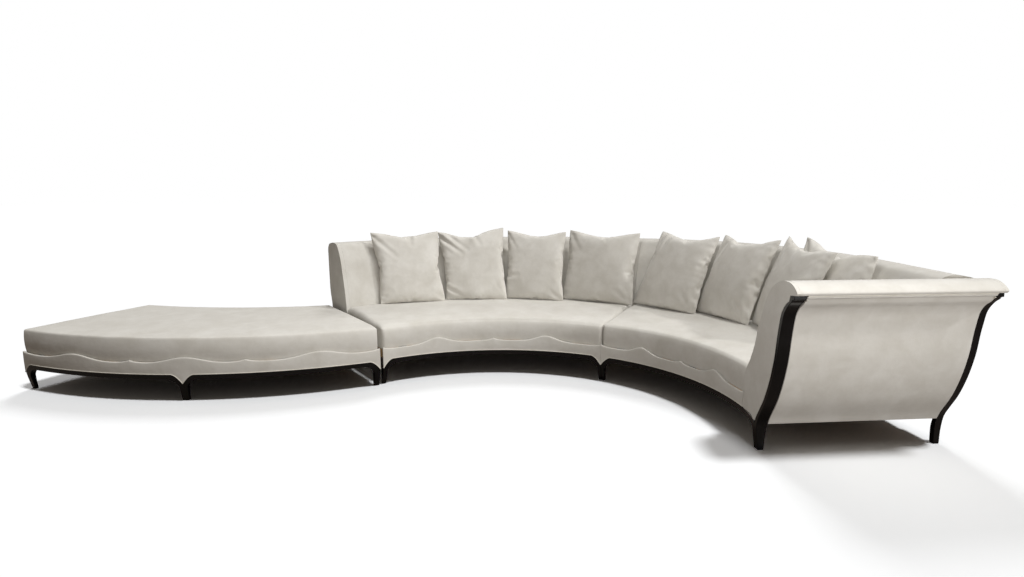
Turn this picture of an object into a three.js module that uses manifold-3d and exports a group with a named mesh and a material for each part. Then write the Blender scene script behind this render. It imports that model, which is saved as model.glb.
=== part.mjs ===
// A curved sectional sofa in three modules: a backless boat-shaped chaise, a curved middle
// seat and a curved right seat that ends in a scroll arm. The upholstery stands on a thin
// black lacquered base whose rails bend down into the legs, and eight loose pillows lean
// on the back. Millimetres, +Z up. A sitter faces -Y, and the longest side runs along X.

import * as THREE from 'three';
import * as BufferGeometryUtils from 'three/addons/utils/BufferGeometryUtils.js';
import Module from 'manifold-3d';

const wasm = await Module();
wasm.setup();

// Plan of the modules. Distances along a module are measured on the front edge of the seat.
const MIDDLE_FRONT_RADIUS = 1418;
const MIDDLE_START_ANGLE = 124.1;
const MIDDLE_SWEEP_ANGLE = 64.8;
const RIGHT_FRONT_RADIUS = 1253;
const RIGHT_SWEEP_ANGLE = 56;
const CHAISE_FRONT_CHORD = 2353;
const CHAISE_FRONT_BOW = 272;
const CHAISE_REAR_BOW = 100;
const CHAISE_LEFT_ANGLE = 23.8;
const CHAISE_OVERHANG = 27;
const CHAISE_GAP = 30;

// The seat grows deeper from the chaise joint to the corner and a little less at the arm.
const DEEPER_AT_CORNER_JOINT = 42;
const DEEPER_MID_MIDDLE = 20;
const DEEPER_MID_RIGHT = 66;
const DEEPER_AT_ARM = 40;
const RISE_MID_MIDDLE = 8;
const RISE_AT_CORNER_JOINT = 18;
const RISE_MID_RIGHT = 28;
const RISE_AT_ARM = 8;

// Seats and frames.
const SEAT_HEIGHT = 412;
const SEAT_CROWN = 13;
const SEAT_DEPTH = 634;
const SEAT_EDGE_ROUND = 30;
const SEAT_SIDE_BULGE = 7;
const SEAT_SIDE_PULL = 8;
const SEAT_END_INSET = 4;
const CHAISE_END_INSET = 4;
const FRAME_TALL = 70;
const BOARD_THICK = 25;
const WEBBING_WIDE = 56;
const WEBBING_THICK = 2;
const DUST_COVER_THICK = 1;

// The lacquered base: rails, legs and the notch of fabric over each leg.
const RAIL_TALL = 28;
const RAIL_TOP = 178;
const BASE_PROUD = 20;
const RAIL_DEEP = 42;
const LEG_DEEP = 42;
const LEG_FOOT_DEEP = 20;
const LEG_HALF_WIDE = 25;
const LEG_FOOT_HALF_WIDE = 22;
const END_LEG_WIDER = 14;
const LEG_LEAN = 32;
const LEG_BEND_TALL = 92;
const WING_LONG = 112;
const NOTCH_WIDE = 74;
const NOTCH_DEEP = 60;
const REAR_POST_SIDE = 42;
const REAR_LEG_INSET = 42;
const REAR_RAIL_DEEP = 30;

// The fabric band over the rail, with its waved upper edge.
const APRON_THICK = 10;
const APRON_LOW_EDGE = 251;
const APRON_HUMP_TALL = 39;
const APRON_CUSP_TALL = 17;
const APRON_END_TALL = 15;
const WELT_THICK = 6;

// The back.
const BACK_HEIGHT = 914;
const BACK_SHOULDER = 861;
const BACK_LEAN = 123;
const BACK_TOP_THICK = 230;
const BACK_PAD_LOW = 262;
const PAD_WALL = 34;
const REAR_SEAM = 800;
const REAR_FLARE = 47;
const REAR_FOOT_DEPTH = SEAT_DEPTH + BACK_LEAN + BACK_TOP_THICK - REAR_FLARE;
const END_WALL = 20;
const RIB_THICK = 18;
const RIB_CLEARANCE = 6;
const BACK_RAIL_TALL = 45;

// The chaise is a little deeper than the modules with a back, and narrows to its left end.
const CHAISE_PAST_BACK = 15;
const CHAISE_TAPER = 37;
const CHAISE_DEPTH = REAR_FOOT_DEPTH + CHAISE_PAST_BACK;
const CHAISE_LEFT_DEPTH = CHAISE_DEPTH - CHAISE_TAPER;

// The scroll arm. Its cross-section is measured outwards from the foot of the front post.
const ARM_INSET = 160;
const ARM_WIDE = 440;
const ARM_INNER_EDGE = -150;
const ARM_HEIGHT = 921;
const ARM_PAST_BACK = 65;
const ARM_REAR = REAR_FOOT_DEPTH + ARM_PAST_BACK;
const ARM_WALL = 30;
const ARM_BACK_GAP = 31;
const ARM_LOW = 142;
const ARM_PAD_LOW = 262;
const POST_HEIGHT_SHARE = 0.926;
const POST_HEIGHT = POST_HEIGHT_SHARE * ARM_HEIGHT;
const POST_FLARE = 280;
const POST_THICK = 25;
const POST_DEEP = 60;
const REAR_POST_DEEP = 40;
const POST_FOOT_DEEP = 32;
const POST_FOOT_THICK = 44;
const REAR_FOOT_THICK = 32;
const FRONT_FOOT_BACK = 18;
const REAR_FOOT_FORWARD = 4;
const POST_END_FLARE = 327;
const POST_END_THICK = 10;
const POST_NOTCH_HEIGHT = 154;
const PANEL_RECESS = 8;
const PANEL_THICK = 17;
const FRONT_PANEL_THICK = 18;
const PIPING_RADIUS = 4;

// Pillows and hardware.
const PILLOW_WIDE = 535;
const PILLOW_TALL = 570;
const PILLOW_FRONT_THICK = 75;
const PILLOW_REAR_THICK = 42;
const PILLOW_SEAM = 2;
const PILLOW_SIDE_PULL = 22;
const PILLOW_DIP = 34;
const CONNECTOR_LONG = 120;
const CONNECTOR_WIDE = 44;
const CONNECTOR_THICK = 3;
const CONNECTOR_DEPTH = 560;

// Clearance between pieces that touch.
const GAP = 0.3;
const SOFT_GAP = 1.2;

// Facets along each module.
const MIDDLE_FACETS = 16;
const RIGHT_FACETS = 13;
const CHAISE_FACETS = 22;

// Where the waves of the apron rise and where small cusps stand, as shares of the length.
const SEAT_HUMP_SHARES = [0.25, 0.745];
const SEAT_CUSP_SHARES = [0.505];
const CHAISE_HUMP_SHARES = [0.193, 0.505, 0.84];
const CHAISE_CUSP_SHARES = [0.36, 0.655];
const HUMP_WIDTH_SHARE = 0.062;
const CUSP_WIDTH_SHARE = 0.02;
const CHAISE_MID_LEG_SHARE = 0.496;
const CROSSING_SHARES = [0.33, 0.67];

// Outlines as shares of the sizes that they follow: [depth, height] from low to high.
const BACK_FRONT_SHARES = [[0, -0.065], [0.02, 0.03], [0.11, 0.22], [0.27, 0.42], [0.5, 0.655],
  [0.73, 0.87]];
const BACK_TOP_SHARES = [[0, 0], [0.11, 0.68], [0.33, 1], [0.66, 0.92], [0.9, 0.6], [0.985, 0.1]];
const BACK_REAR_SHARES = [[0, 0.19], [0.18, 0.419], [0.21, 0.455], [0.77, 0.558], [0.96, 0.7], [1, 0.85]];
const ARM_INNER_SHARES = [[0, 0.416], [0.1, 0.503], [0.19, 0.607], [0.236, 0.7025], [0.289, 0.769],
  [0.395, 0.886], [0.51, 0.954], [0.63, 0.985], [0.775, 1], [0.873, 0.994], [0.96, 0.972],
  [1, 0.951], [0.98, 0.94]];
const POST_OUTER_SHARES = [[0.005, 0], [0, 0.108], [0.036, 0.189], [0.14, 0.255], [0.28, 0.336],
  [0.436, 0.465], [0.546, 0.607], [0.625, 0.804], [0.7, 0.906], [0.84, 0.9625], [0.97, 0.99]];

// Loose pillows: module, place along it, depth of the foot, turn, tilt and roll in degrees,
// and how much of the seat's crown lies under the foot.
const PILLOWS = [
  { module: 'middle', share: 0.218, footShare: 0.88, turn: -6, tilt: 12, roll: 1, crownShare: 0.03 },
  { module: 'middle', share: 0.437, footShare: 0.875, turn: -8, tilt: 12, roll: 3.5, crownShare: 0 },
  { module: 'middle', share: 0.655, footShare: 0.845, turn: -9, tilt: 12, roll: 1, crownShare: 0.21 },
  { module: 'middle', share: 0.89, footShare: 0.87, turn: -6, tilt: 12, roll: 0, crownShare: 0.16 },
  { module: 'right', share: 0.156, footShare: 0.8, turn: -12, tilt: 18, roll: -3, crownShare: 0.64 },
  { module: 'right', share: 0.395, footShare: 0.79, turn: -15, tilt: 19, roll: -4, crownShare: 0.765 },
  { module: 'right', share: 0.66, footShare: 0.7, turn: -19, tilt: 20, roll: -4, crownShare: 0.75 },
  { module: 'right', share: 0.828, footShare: 0.868, turn: 1, tilt: 14, roll: -4, crownShare: 0.135 },
];

// Colours read from the photograph.
const nubuck = () => new THREE.MeshStandardMaterial({ color: '#c9c4ba', roughness: 0.85, metalness: 0 });
const piping = () => new THREE.MeshStandardMaterial({ color: '#dcd6ca', roughness: 0.7, metalness: 0 });
const lacquer = () => new THREE.MeshStandardMaterial({ color: '#141416', roughness: 0.18, metalness: 0 });
const timber = () => new THREE.MeshStandardMaterial({ color: '#c9a877', roughness: 0.7, metalness: 0 });
const elastic = () => new THREE.MeshStandardMaterial({ color: '#2a2a2c', roughness: 0.9, metalness: 0 });
const backing = () => new THREE.MeshStandardMaterial({ color: '#1d1d1f', roughness: 0.95, metalness: 0 });
const steel = () => new THREE.MeshStandardMaterial({ color: '#8e9195', roughness: 0.4, metalness: 1 });

const { lerp, clamp, degToRad } = THREE.MathUtils;
const polar = (centre, radius, angle) => [
  centre[0] + radius * Math.cos(degToRad(angle)),
  centre[1] + radius * Math.sin(degToRad(angle)),
];
const between = (a, b, share) => a.map((value, i) => lerp(value, b[i], share));
const valueAt = (value, s) => (typeof value === 'function' ? value(s) : value);

// A quadratic through three values at the start, the middle and the end.
const threePoint = (start, middle, end) => (share) => start * (1 - share) * (1 - 2 * share)
  + 4 * middle * share * (1 - share) + end * share * (2 * share - 1);

// A module in plan is a row of straight facets, so that all its pieces bend at the same lines.
function facetedModule(name, width, facets, point, rise) {
  const at = (s, d) => {
    const place = (s / width) * facets;
    const facet = clamp(Math.floor(place), 0, facets - 1);
    return between(point(facet / facets, d), point((facet + 1) / facets, d), place - facet);
  };
  const lines = Array.from({ length: facets + 1 }, (_, i) => (i / facets) * width);
  return { name, width, at, lines, rise: (s) => rise(clamp(s / width, 0, 1)) };
}

function curvedModule(name, centre, radius, start, sweep, facets, deeper, rise) {
  const point = (share, d) => {
    const depth = d + deeper(share) * clamp(d / SEAT_DEPTH, 0, 1);
    return polar(centre, radius + depth, start - share * sweep);
  };
  return facetedModule(name, radius * degToRad(sweep), facets, point, rise);
}

// A bow through two ends that swells towards -Y by a given height.
function bow(a, b, height) {
  const chord = Math.hypot(b[0] - a[0], b[1] - a[1]);
  const radius = (chord * chord) / (8 * height) + height / 2;
  const half = Math.asin(chord / 2 / radius);
  const along = [(b[0] - a[0]) / chord, (b[1] - a[1]) / chord];
  const middle = between(a, b, 1 / 2);
  const rise = radius - height;
  return {
    length: 2 * half * radius,
    point: (share) => {
      const turn = (2 * share - 1) * half;
      const x = radius * Math.sin(turn);
      const y = rise - radius * Math.cos(turn);
      return [middle[0] + along[0] * x - along[1] * y, middle[1] + along[1] * x + along[0] * y];
    },
  };
}

const MIDDLE_CENTRE = [0, 0];
const CORNER_ANGLE = MIDDLE_START_ANGLE - MIDDLE_SWEEP_ANGLE;
const ARM_ANGLE = CORNER_ANGLE - RIGHT_SWEEP_ANGLE;
const RIGHT_CENTRE = polar(MIDDLE_CENTRE, MIDDLE_FRONT_RADIUS - RIGHT_FRONT_RADIUS, CORNER_ANGLE);

const middle = curvedModule('middle', MIDDLE_CENTRE, MIDDLE_FRONT_RADIUS, MIDDLE_START_ANGLE,
  MIDDLE_SWEEP_ANGLE, MIDDLE_FACETS, threePoint(0, DEEPER_MID_MIDDLE, DEEPER_AT_CORNER_JOINT),
  threePoint(0, RISE_MID_MIDDLE, RISE_AT_CORNER_JOINT));
const right = curvedModule('right', RIGHT_CENTRE, RIGHT_FRONT_RADIUS, CORNER_ANGLE,
  RIGHT_SWEEP_ANGLE, RIGHT_FACETS,
  threePoint(DEEPER_AT_CORNER_JOINT, DEEPER_MID_RIGHT, DEEPER_AT_ARM),
  threePoint(RISE_AT_CORNER_JOINT, RISE_MID_RIGHT, RISE_AT_ARM));
const chaise = chaiseModule();
const arm = armModule();
const modules = { chaise, middle, right };

function chaiseModule() {
  const jointStart = MIDDLE_FRONT_RADIUS - CHAISE_OVERHANG;
  const joint = [MIDDLE_CENTRE[0] - CHAISE_GAP, MIDDLE_CENTRE[1]];
  const frontRight = polar(joint, jointStart, MIDDLE_START_ANGLE);
  const rearRight = polar(joint, jointStart + CHAISE_DEPTH, MIDDLE_START_ANGLE);
  const frontLeft = [frontRight[0] - CHAISE_FRONT_CHORD, frontRight[1]];
  const rearLeft = polar(frontLeft, CHAISE_LEFT_DEPTH, 90 - CHAISE_LEFT_ANGLE);
  const front = bow(frontLeft, frontRight, CHAISE_FRONT_BOW);
  const rear = bow(rearLeft, rearRight, CHAISE_REAR_BOW);
  const point = (share, d) => between(front.point(share), rear.point(share), d / CHAISE_DEPTH);
  return facetedModule('chaise', front.length, CHAISE_FACETS, point, () => 0);
}

// The arm runs straight back from the end of the right seat: s along it, o outwards.
function armModule() {
  const along = [Math.cos(degToRad(ARM_ANGLE)), Math.sin(degToRad(ARM_ANGLE))];
  const at = (s, o) => {
    const reach = RIGHT_FRONT_RADIUS + s;
    const out = ARM_INSET + o;
    return [
      RIGHT_CENTRE[0] + reach * along[0] + out * along[1],
      RIGHT_CENTRE[1] + reach * along[1] - out * along[0],
    ];
  };
  return { name: 'arm', at, lines: [] };
}

// Moves each vertex of a unit shape to its place, and turns the faces outwards.
function bend(geometry, place) {
  geometry.deleteAttribute('normal');
  geometry.deleteAttribute('uv');
  const solid = BufferGeometryUtils.mergeVertices(geometry);
  const points = solid.getAttribute('position');
  for (let i = 0; i < points.count; i += 1) {
    points.setXYZ(i, ...place(points.getX(i), points.getY(i), points.getZ(i)));
  }
  return facingOut(solid);
}

function facingOut(solid) {
  const points = solid.getAttribute('position');
  const index = solid.getIndex();
  const corner = (i) => new THREE.Vector3().fromBufferAttribute(points, index.getX(i));
  let volume = 0;
  for (let i = 0; i < index.count; i += 3) {
    volume += corner(i).dot(corner(i + 1).cross(corner(i + 2)));
  }
  if (volume < 0) {
    for (let i = 0; i < index.count; i += 3) {
      const first = index.getX(i);
      index.setX(i, index.getX(i + 1));
      index.setX(i + 1, first);
    }
  }
  return solid;
}

const toManifold = (solid) => new wasm.Manifold(new wasm.Mesh({
  numProp: 3,
  vertProperties: new Float32Array(solid.getAttribute('position').array),
  triVerts: new Uint32Array(solid.getIndex().array),
}));

function fromManifold(manifold) {
  const mesh = manifold.getMesh();
  const solid = new THREE.BufferGeometry();
  solid.setAttribute('position', new THREE.BufferAttribute(mesh.vertProperties, 3));
  solid.setIndex(new THREE.BufferAttribute(mesh.triVerts, 1));
  return solid;
}

const joined = (solids) => fromManifold(solids.map(toManifold).reduce((sum, next) => sum.add(next)));

// The places along a module where a piece bends, with extra ones between them.
function stops(module, from, to, finer = 1) {
  const inner = module.lines.filter((line) => line > from && line < to);
  const coarse = [from, ...inner, to];
  return coarse.flatMap((start, i) => (i === coarse.length - 1 ? [start]
    : Array.from({ length: finer }, (_, k) => lerp(start, coarse[i + 1], k / finer))));
}

// A board that follows a module: its sides are sizes or functions of the place along it.
function board(module, { from, to, places = stops(module, from, to), front, back, low, high }) {
  const last = places.length - 1;
  const box = new THREE.BoxGeometry(1, 1, 1, last, 1, 1).translate(1 / 2, 1 / 2, 1 / 2);
  return bend(box, (u, v, w) => {
    const s = places[Math.round(u * last)];
    const d = lerp(valueAt(front, s), valueAt(back, s), v);
    return [...module.at(s, d), lerp(valueAt(low, s), valueAt(high, s), w)];
  });
}

// A moulding carries an outline of [depth, height] points along a module.
function moulding(module, { from, to, outline, place }) {
  const places = stops(module, from, to);
  const last = places.length - 1;
  const shape = new THREE.Shape(outline.map(([d, z]) => new THREE.Vector2(d, z)));
  const solid = new THREE.ExtrudeGeometry(shape, { depth: 1, steps: last, bevelEnabled: false });
  const put = place ?? ((s, d, z) => [...module.at(s, d), z]);
  return bend(solid, (d, z, w) => put(places[Math.round(w * last)], d, z));
}

// A plate has an outline of [x, z] points and a thickness that the place function sets.
function plate(outline, place) {
  const shape = new THREE.Shape(outline.map(([x, z]) => new THREE.Vector2(x, z)));
  return bend(new THREE.ExtrudeGeometry(shape, { depth: 1, bevelEnabled: false }), place);
}

// A line of points moved sideways: positive distances go to the left of its direction.
function aside(line, distance) {
  return line.map((point, i) => {
    const before = line[Math.max(i - 1, 0)];
    const after = line[Math.min(i + 1, line.length - 1)];
    const length = Math.hypot(after[0] - before[0], after[1] - before[1]);
    return [
      point[0] - ((after[1] - before[1]) / length) * distance,
      point[1] + ((after[0] - before[0]) / length) * distance,
    ];
  });
}

function heightOnLine(line, z, axis = 1) {
  const next = Math.max(line.findIndex((point) => point[axis] >= z), 1);
  const a = line[next - 1];
  const b = line[next];
  return lerp(a[1 - axis], b[1 - axis], clamp((z - a[axis]) / (b[axis] - a[axis]), 0, 1));
}

// The frame is a box of boards glued and screwed together.
const FRAME_LOW = RAIL_TOP + GAP;
const FRAME_TOP = FRAME_LOW + FRAME_TALL;
const FRAME_FRONT = -APRON_THICK + GAP;
const FRAMED_DEPTH = REAR_FOOT_DEPTH - PAD_WALL - GAP;

function frame(module, left, depth, seatRail) {
  const end = module.width - left;
  const sides = { low: FRAME_LOW, high: FRAME_TOP };
  const along = (front, back) => board(module, { from: left, to: end, front, back, ...sides });
  const across = (from) => board(module, {
    from, to: from + BOARD_THICK, front: FRAME_FRONT, back: depth, ...sides,
  });
  const boards = [along(FRAME_FRONT, FRAME_FRONT + BOARD_THICK), along(depth - BOARD_THICK, depth)];
  if (seatRail) boards.push(along(seatRail, seatRail + BOARD_THICK));
  const spaces = 2;
  for (let i = 0; i <= spaces; i += 1) boards.push(across(lerp(left, end - BOARD_THICK, i / spaces)));
  return joined(boards);
}

// Elastic webbing: a strap across every third facet, held by two that run along the module.
function webbing(module, left, depth) {
  const { lines } = module;
  const level = { low: FRAME_TOP + GAP, high: FRAME_TOP + GAP + WEBBING_THICK };
  const mat = [];
  for (let i = 1; i < lines.length - 1; i += 3) {
    const centre = (lines[i] + lines[i + 1]) / 2;
    mat.push(board(module, {
      from: centre - WEBBING_WIDE / 2,
      to: centre + WEBBING_WIDE / 2,
      front: FRAME_FRONT + GAP,
      back: depth,
      ...level,
    }));
  }
  for (const share of CROSSING_SHARES) {
    mat.push(board(module, {
      from: left,
      to: module.width - left,
      front: share * depth - WEBBING_WIDE / 2,
      back: share * depth + WEBBING_WIDE / 2,
      ...level,
    }));
  }
  return joined(mat);
}

// A seat pad is a soft block with rounded edges, a crowned top and sides that pull in
// between the corners.
const PAD_LOW = FRAME_TOP + WEBBING_THICK + 2 * GAP;

function seatPad(module, left, rightInset, depth) {
  const end = module.width - rightInset;
  const middleStops = stops(module, left + SEAT_EDGE_ROUND, end - SEAT_EDGE_ROUND);
  const along = [left, ...middleStops, end];
  const inner = 3;
  const deep = [0, ...Array.from({ length: inner + 1 }, (_, i) => lerp(SEAT_EDGE_ROUND,
    depth - SEAT_EDGE_ROUND, i / inner)), depth];
  const tall = [PAD_LOW, SEAT_HEIGHT - 2 * SEAT_EDGE_ROUND, SEAT_HEIGHT - SEAT_EDGE_ROUND, SEAT_HEIGHT];
  const counts = [along.length - 1, deep.length - 1, tall.length - 1];
  const box = new THREE.BoxGeometry(1, 1, 1, ...counts).translate(1 / 2, 1 / 2, 1 / 2);
  const round = (value, low, high) => clamp(value, low + SEAT_EDGE_ROUND, high - SEAT_EDGE_ROUND);
  return bend(box, (u, v, w) => {
    const raw = [along[Math.round(u * counts[0])], deep[Math.round(v * counts[1])],
      tall[Math.round(w * counts[2])]];
    const core = new THREE.Vector3(round(raw[0], left, end), round(raw[1], 0, depth),
      Math.min(raw[2], SEAT_HEIGHT - SEAT_EDGE_ROUND));
    const out = new THREE.Vector3(...raw).sub(core);
    if (out.length() > 0) out.setLength(SEAT_EDGE_ROUND);
    const [s, d, z] = core.add(out).toArray();
    const lengthShare = (s - left) / (end - left);
    const depthShare = d / depth;
    const level = (z - PAD_LOW) / (SEAT_HEIGHT - PAD_LOW);
    const bulge = SEAT_SIDE_BULGE * Math.sin(Math.PI * clamp(level, 0, 1));
    const pull = SEAT_SIDE_PULL * Math.sin(Math.PI * lengthShare) * level;
    const side = v === 0 ? pull - bulge : 0;
    const crown = SEAT_CROWN * clamp(2 * level - 1, 0, 1)
      * Math.sin(Math.PI * lengthShare) ** 0.5 * Math.sin(Math.PI * depthShare);
    return [...module.at(s, d + side), z + (w === 1 ? crown : 0)];
  });
}

// Height of the black base along a module: level, with a rounded notch over each leg.
const notchAt = (distance) => {
  const share = clamp(1 - Math.abs(distance) / NOTCH_WIDE, 0, 1);
  return NOTCH_DEEP * share ** 1.8;
};
const baseTop = (legs) => (s) => RAIL_TOP - legs.reduce((sum, leg) => sum + notchAt(s - leg), 0);

// The fabric's lower edge bends at the same places as the tops of the legs.
const NOTCH_KNOTS = [0, 1 / 4, 1 / 2, 3 / 4, 1].map((share) => share * NOTCH_WIDE);

function edgeStops(module, legs) {
  const from = GAP;
  const to = module.width - GAP;
  const knots = legs.flatMap((leg) => NOTCH_KNOTS.flatMap((knot) => [leg - knot, leg + knot]))
    .filter((s) => s > from + GAP && s < to - GAP);
  const clear = stops(module, from, to, 2)
    .filter((s) => knots.every((knot) => Math.abs(s - knot) > SOFT_GAP));
  return [...new Set([...clear, ...knots])].sort((a, b) => a - b);
}

// Height of the waved upper edge of the apron, by a share of the length.
function waveAt(share, humps, cusps) {
  const bell = (centre, width) => Math.exp(-(((share - centre) / width) ** 2));
  const peak = (centre) => Math.exp(-Math.abs(share - centre) / CUSP_WIDTH_SHARE);
  const hump = humps.reduce((sum, centre) => sum + bell(centre, HUMP_WIDTH_SHARE), 0);
  const cusp = cusps.reduce((sum, centre) => sum + peak(centre), 0);
  const ends = peak(0) + peak(1);
  return APRON_LOW_EDGE + hump * APRON_HUMP_TALL + cusp * APRON_CUSP_TALL + ends * APRON_END_TALL;
}

const APRON_LIFT = WELT_THICK + 2 * GAP;

function seatApron(module, legs, humps, cusps) {
  const base = baseTop(legs);
  return board(module, {
    places: edgeStops(module, legs),
    front: -BASE_PROUD,
    back: -BASE_PROUD + APRON_THICK,
    low: (s) => base(s) + APRON_LIFT,
    high: (s) => waveAt(s / module.width, humps, cusps),
  });
}

// The welt is a cord sewn into the lower edge of the apron, so it follows the base.
function apronWelt(module, legs) {
  const base = baseTop(legs);
  return board(module, {
    places: edgeStops(module, legs),
    front: -BASE_PROUD - WELT_THICK / 3,
    back: -BASE_PROUD + WELT_THICK,
    low: (s) => base(s) + GAP,
    high: (s) => base(s) + GAP + WELT_THICK,
  });
}

// A leg is cut from one plank with a short wing on one or both sides, which carries the rail.
function legOutline(sides, wider) {
  const wing = (side) => {
    const points = [...NOTCH_KNOTS, WING_LONG].map((x) => [side * x, RAIL_TOP - notchAt(x)]);
    const bendSteps = 5;
    const reach = WING_LONG - LEG_HALF_WIDE - wider;
    const tall = RAIL_TOP - RAIL_TALL - LEG_BEND_TALL;
    for (let i = 0; i <= bendSteps; i += 1) {
      const turn = (Math.PI / 2) * (i / bendSteps);
      points.push([side * (WING_LONG - reach * Math.sin(turn) ** 1.1),
        LEG_BEND_TALL + tall * Math.cos(turn) ** 1.1]);
    }
    points.push([side * (wider + lerp(LEG_HALF_WIDE, LEG_FOOT_HALF_WIDE, 1 / 2)), LEG_BEND_TALL / 2]);
    points.push([side * (wider + LEG_FOOT_HALF_WIDE), 0]);
    return points;
  };
  if (sides === 'both') return [...wing(1), ...wing(-1).slice(1).reverse()];
  const side = sides === 'left' ? -1 : 1;
  const edge = side * GAP;
  return [[edge, RAIL_TOP - notchAt(0)], ...wing(side).slice(1), [edge, 0]];
}

// The front face of the base steps back towards the floor, and the legs grow thinner.
const frontAt = (z) => -BASE_PROUD + LEG_LEAN * clamp(1 - z / (RAIL_TOP - RAIL_TALL), 0, 1) ** 1.4;
const thinning = (foot, top, z) => lerp(foot, top, clamp(z / (RAIL_TOP - RAIL_TALL), 0, 1));

function leg(module, place, sides, wider = 0) {
  return plate(legOutline(sides, wider), (x, z, w) => [
    ...module.at(place + x, frontAt(z) + w * thinning(LEG_FOOT_DEEP, LEG_DEEP, z)), z,
  ]);
}

function frontRail(module, from, to) {
  return board(module, {
    from: from + GAP, to: to - GAP, front: -BASE_PROUD, back: -BASE_PROUD + RAIL_DEEP,
    low: RAIL_TOP - RAIL_TALL, high: RAIL_TOP,
  });
}

function rearLeg(module, s, d) {
  return bend(new THREE.BoxGeometry(1, 1, 1), (u, v, w) => {
    const side = REAR_POST_SIDE * (w < 0 ? 3 / 4 : 1);
    return [...module.at(s + u * side, d + v * side), w < 0 ? 0 : RAIL_TOP];
  });
}

// The rear base is one glued piece: a rail with its legs.
function rearBase(module, from, to, depth, legs) {
  const rail = board(module, {
    from, to, front: depth - REAR_RAIL_DEEP, back: depth, low: RAIL_TOP - RAIL_TALL, high: RAIL_TOP,
  });
  return joined([rail, ...legs.map((s) => rearLeg(module, s, depth - REAR_POST_SIDE / 2))]);
}

const COVERED_DEPTH = REAR_FOOT_DEPTH - REAR_RAIL_DEEP - SOFT_GAP;

function dustCover(module, left, depth) {
  return board(module, {
    from: left, to: module.width - left, front: -BASE_PROUD + RAIL_DEEP + GAP, back: depth,
    low: RAIL_TOP - DUST_COVER_THICK - GAP, high: RAIL_TOP - GAP,
  });
}

// The outer line of the back, from the seat over the rounded top to the rear seam.
function backLine() {
  const points = [[SEAT_DEPTH, BACK_PAD_LOW]];
  for (const [d, z] of BACK_FRONT_SHARES) {
    points.push([SEAT_DEPTH + d * BACK_LEAN, lerp(SEAT_HEIGHT, BACK_SHOULDER, z)]);
  }
  for (const [d, z] of BACK_TOP_SHARES) {
    points.push([SEAT_DEPTH + BACK_LEAN + d * BACK_TOP_THICK, lerp(BACK_SHOULDER, BACK_HEIGHT, z)]);
  }
  points.push([REAR_FOOT_DEPTH + REAR_FLARE, REAR_SEAM + GAP]);
  return points;
}

function rearLine(inset, low, high) {
  const foot = REAR_FOOT_DEPTH - inset;
  const points = BACK_REAR_SHARES.map(([d, z]) => [foot + d * REAR_FLARE, z * BACK_HEIGHT]);
  const inside = points.filter(([, z]) => z > low && z < high);
  return [[heightOnLine(points, low), low], ...inside, [heightOnLine(points, high), high]];
}

// The back rises a little towards the corner.
const raised = (module) => (s, d, z) => {
  const share = clamp((z - SEAT_HEIGHT) / (BACK_HEIGHT - SEAT_HEIGHT), 0, 1);
  return [...module.at(s, d), z + share * module.rise(s)];
};

// The last station of the right back leans outwards with the inner face of the arm.
const meetingArm = (s, d, z) => {
  const [x, y, height] = raised(right)(s, d, z);
  if (s < right.width - GAP) return [x, y, height];
  const reach = d + DEEPER_AT_ARM * clamp(d / SEAT_DEPTH, 0, 1);
  const out = Math.max(armInnerAt(height) - ARM_BACK_GAP, -ARM_INSET + GAP);
  return [...arm.at(reach, out), height];
};

function backPad(module, from, to, place) {
  const outer = backLine();
  const inner = aside(outer, -PAD_WALL);
  inner[0][1] = BACK_PAD_LOW;
  inner[inner.length - 1][1] = REAR_SEAM + GAP;
  return moulding(module, { from, to, outline: [...outer, ...inner.reverse()], place });
}

function outsideBack(module, from, to, place) {
  const outer = rearLine(0, FRAME_LOW, REAR_SEAM);
  const inner = rearLine(PAD_WALL, FRAME_LOW, REAR_SEAM);
  return moulding(module, { from, to, outline: [...outer, ...inner.reverse()], place });
}

// Plywood ribs stand on the frame inside the back, tied together by two rails.
function backFrame(module, left) {
  const foot = FRAME_TOP + GAP;
  const front = SEAT_DEPTH + PAD_WALL + RIB_CLEARANCE;
  const cover = aside(backLine(), -PAD_WALL - RIB_CLEARANCE)
    .filter(([d, z]) => z > foot && (z > REAR_SEAM || d < REAR_FOOT_DEPTH - PAD_WALL));
  const rear = rearLine(PAD_WALL + RIB_CLEARANCE, foot, REAR_SEAM).reverse();
  const outline = [[front, foot], ...cover.slice(1), ...rear];
  const place = raised(module);
  const ribCount = 3;
  const end = module.width - left - RIB_THICK;
  const ribs = Array.from({ length: ribCount }, (_, i) => {
    const from = lerp(left, end, i / (ribCount - 1));
    return moulding(module, { from, to: from + RIB_THICK, outline, place });
  });
  const rail = (near, low) => moulding(module, {
    from: left,
    to: module.width - left,
    outline: [[near, low], [near + BOARD_THICK, low], [near + BOARD_THICK, low + BACK_RAIL_TALL],
      [near, low + BACK_RAIL_TALL]],
    place,
  });
  const topRail = rail(front + BACK_LEAN + BOARD_THICK, REAR_SEAM - BACK_RAIL_TALL);
  return joined([...ribs, rail(front, foot), topRail]);
}

// An end panel closes the side of the seat box and of the back.
function endPanel(module, from, to) {
  const outline = [
    [FRAME_FRONT, FRAME_LOW], [FRAME_FRONT, FRAME_TOP], [SEAT_DEPTH, FRAME_TOP],
    ...backLine().slice(1), ...rearLine(0, FRAME_LOW, REAR_SEAM).reverse(),
  ];
  return moulding(module, { from, to, outline, place: raised(module) });
}

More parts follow.
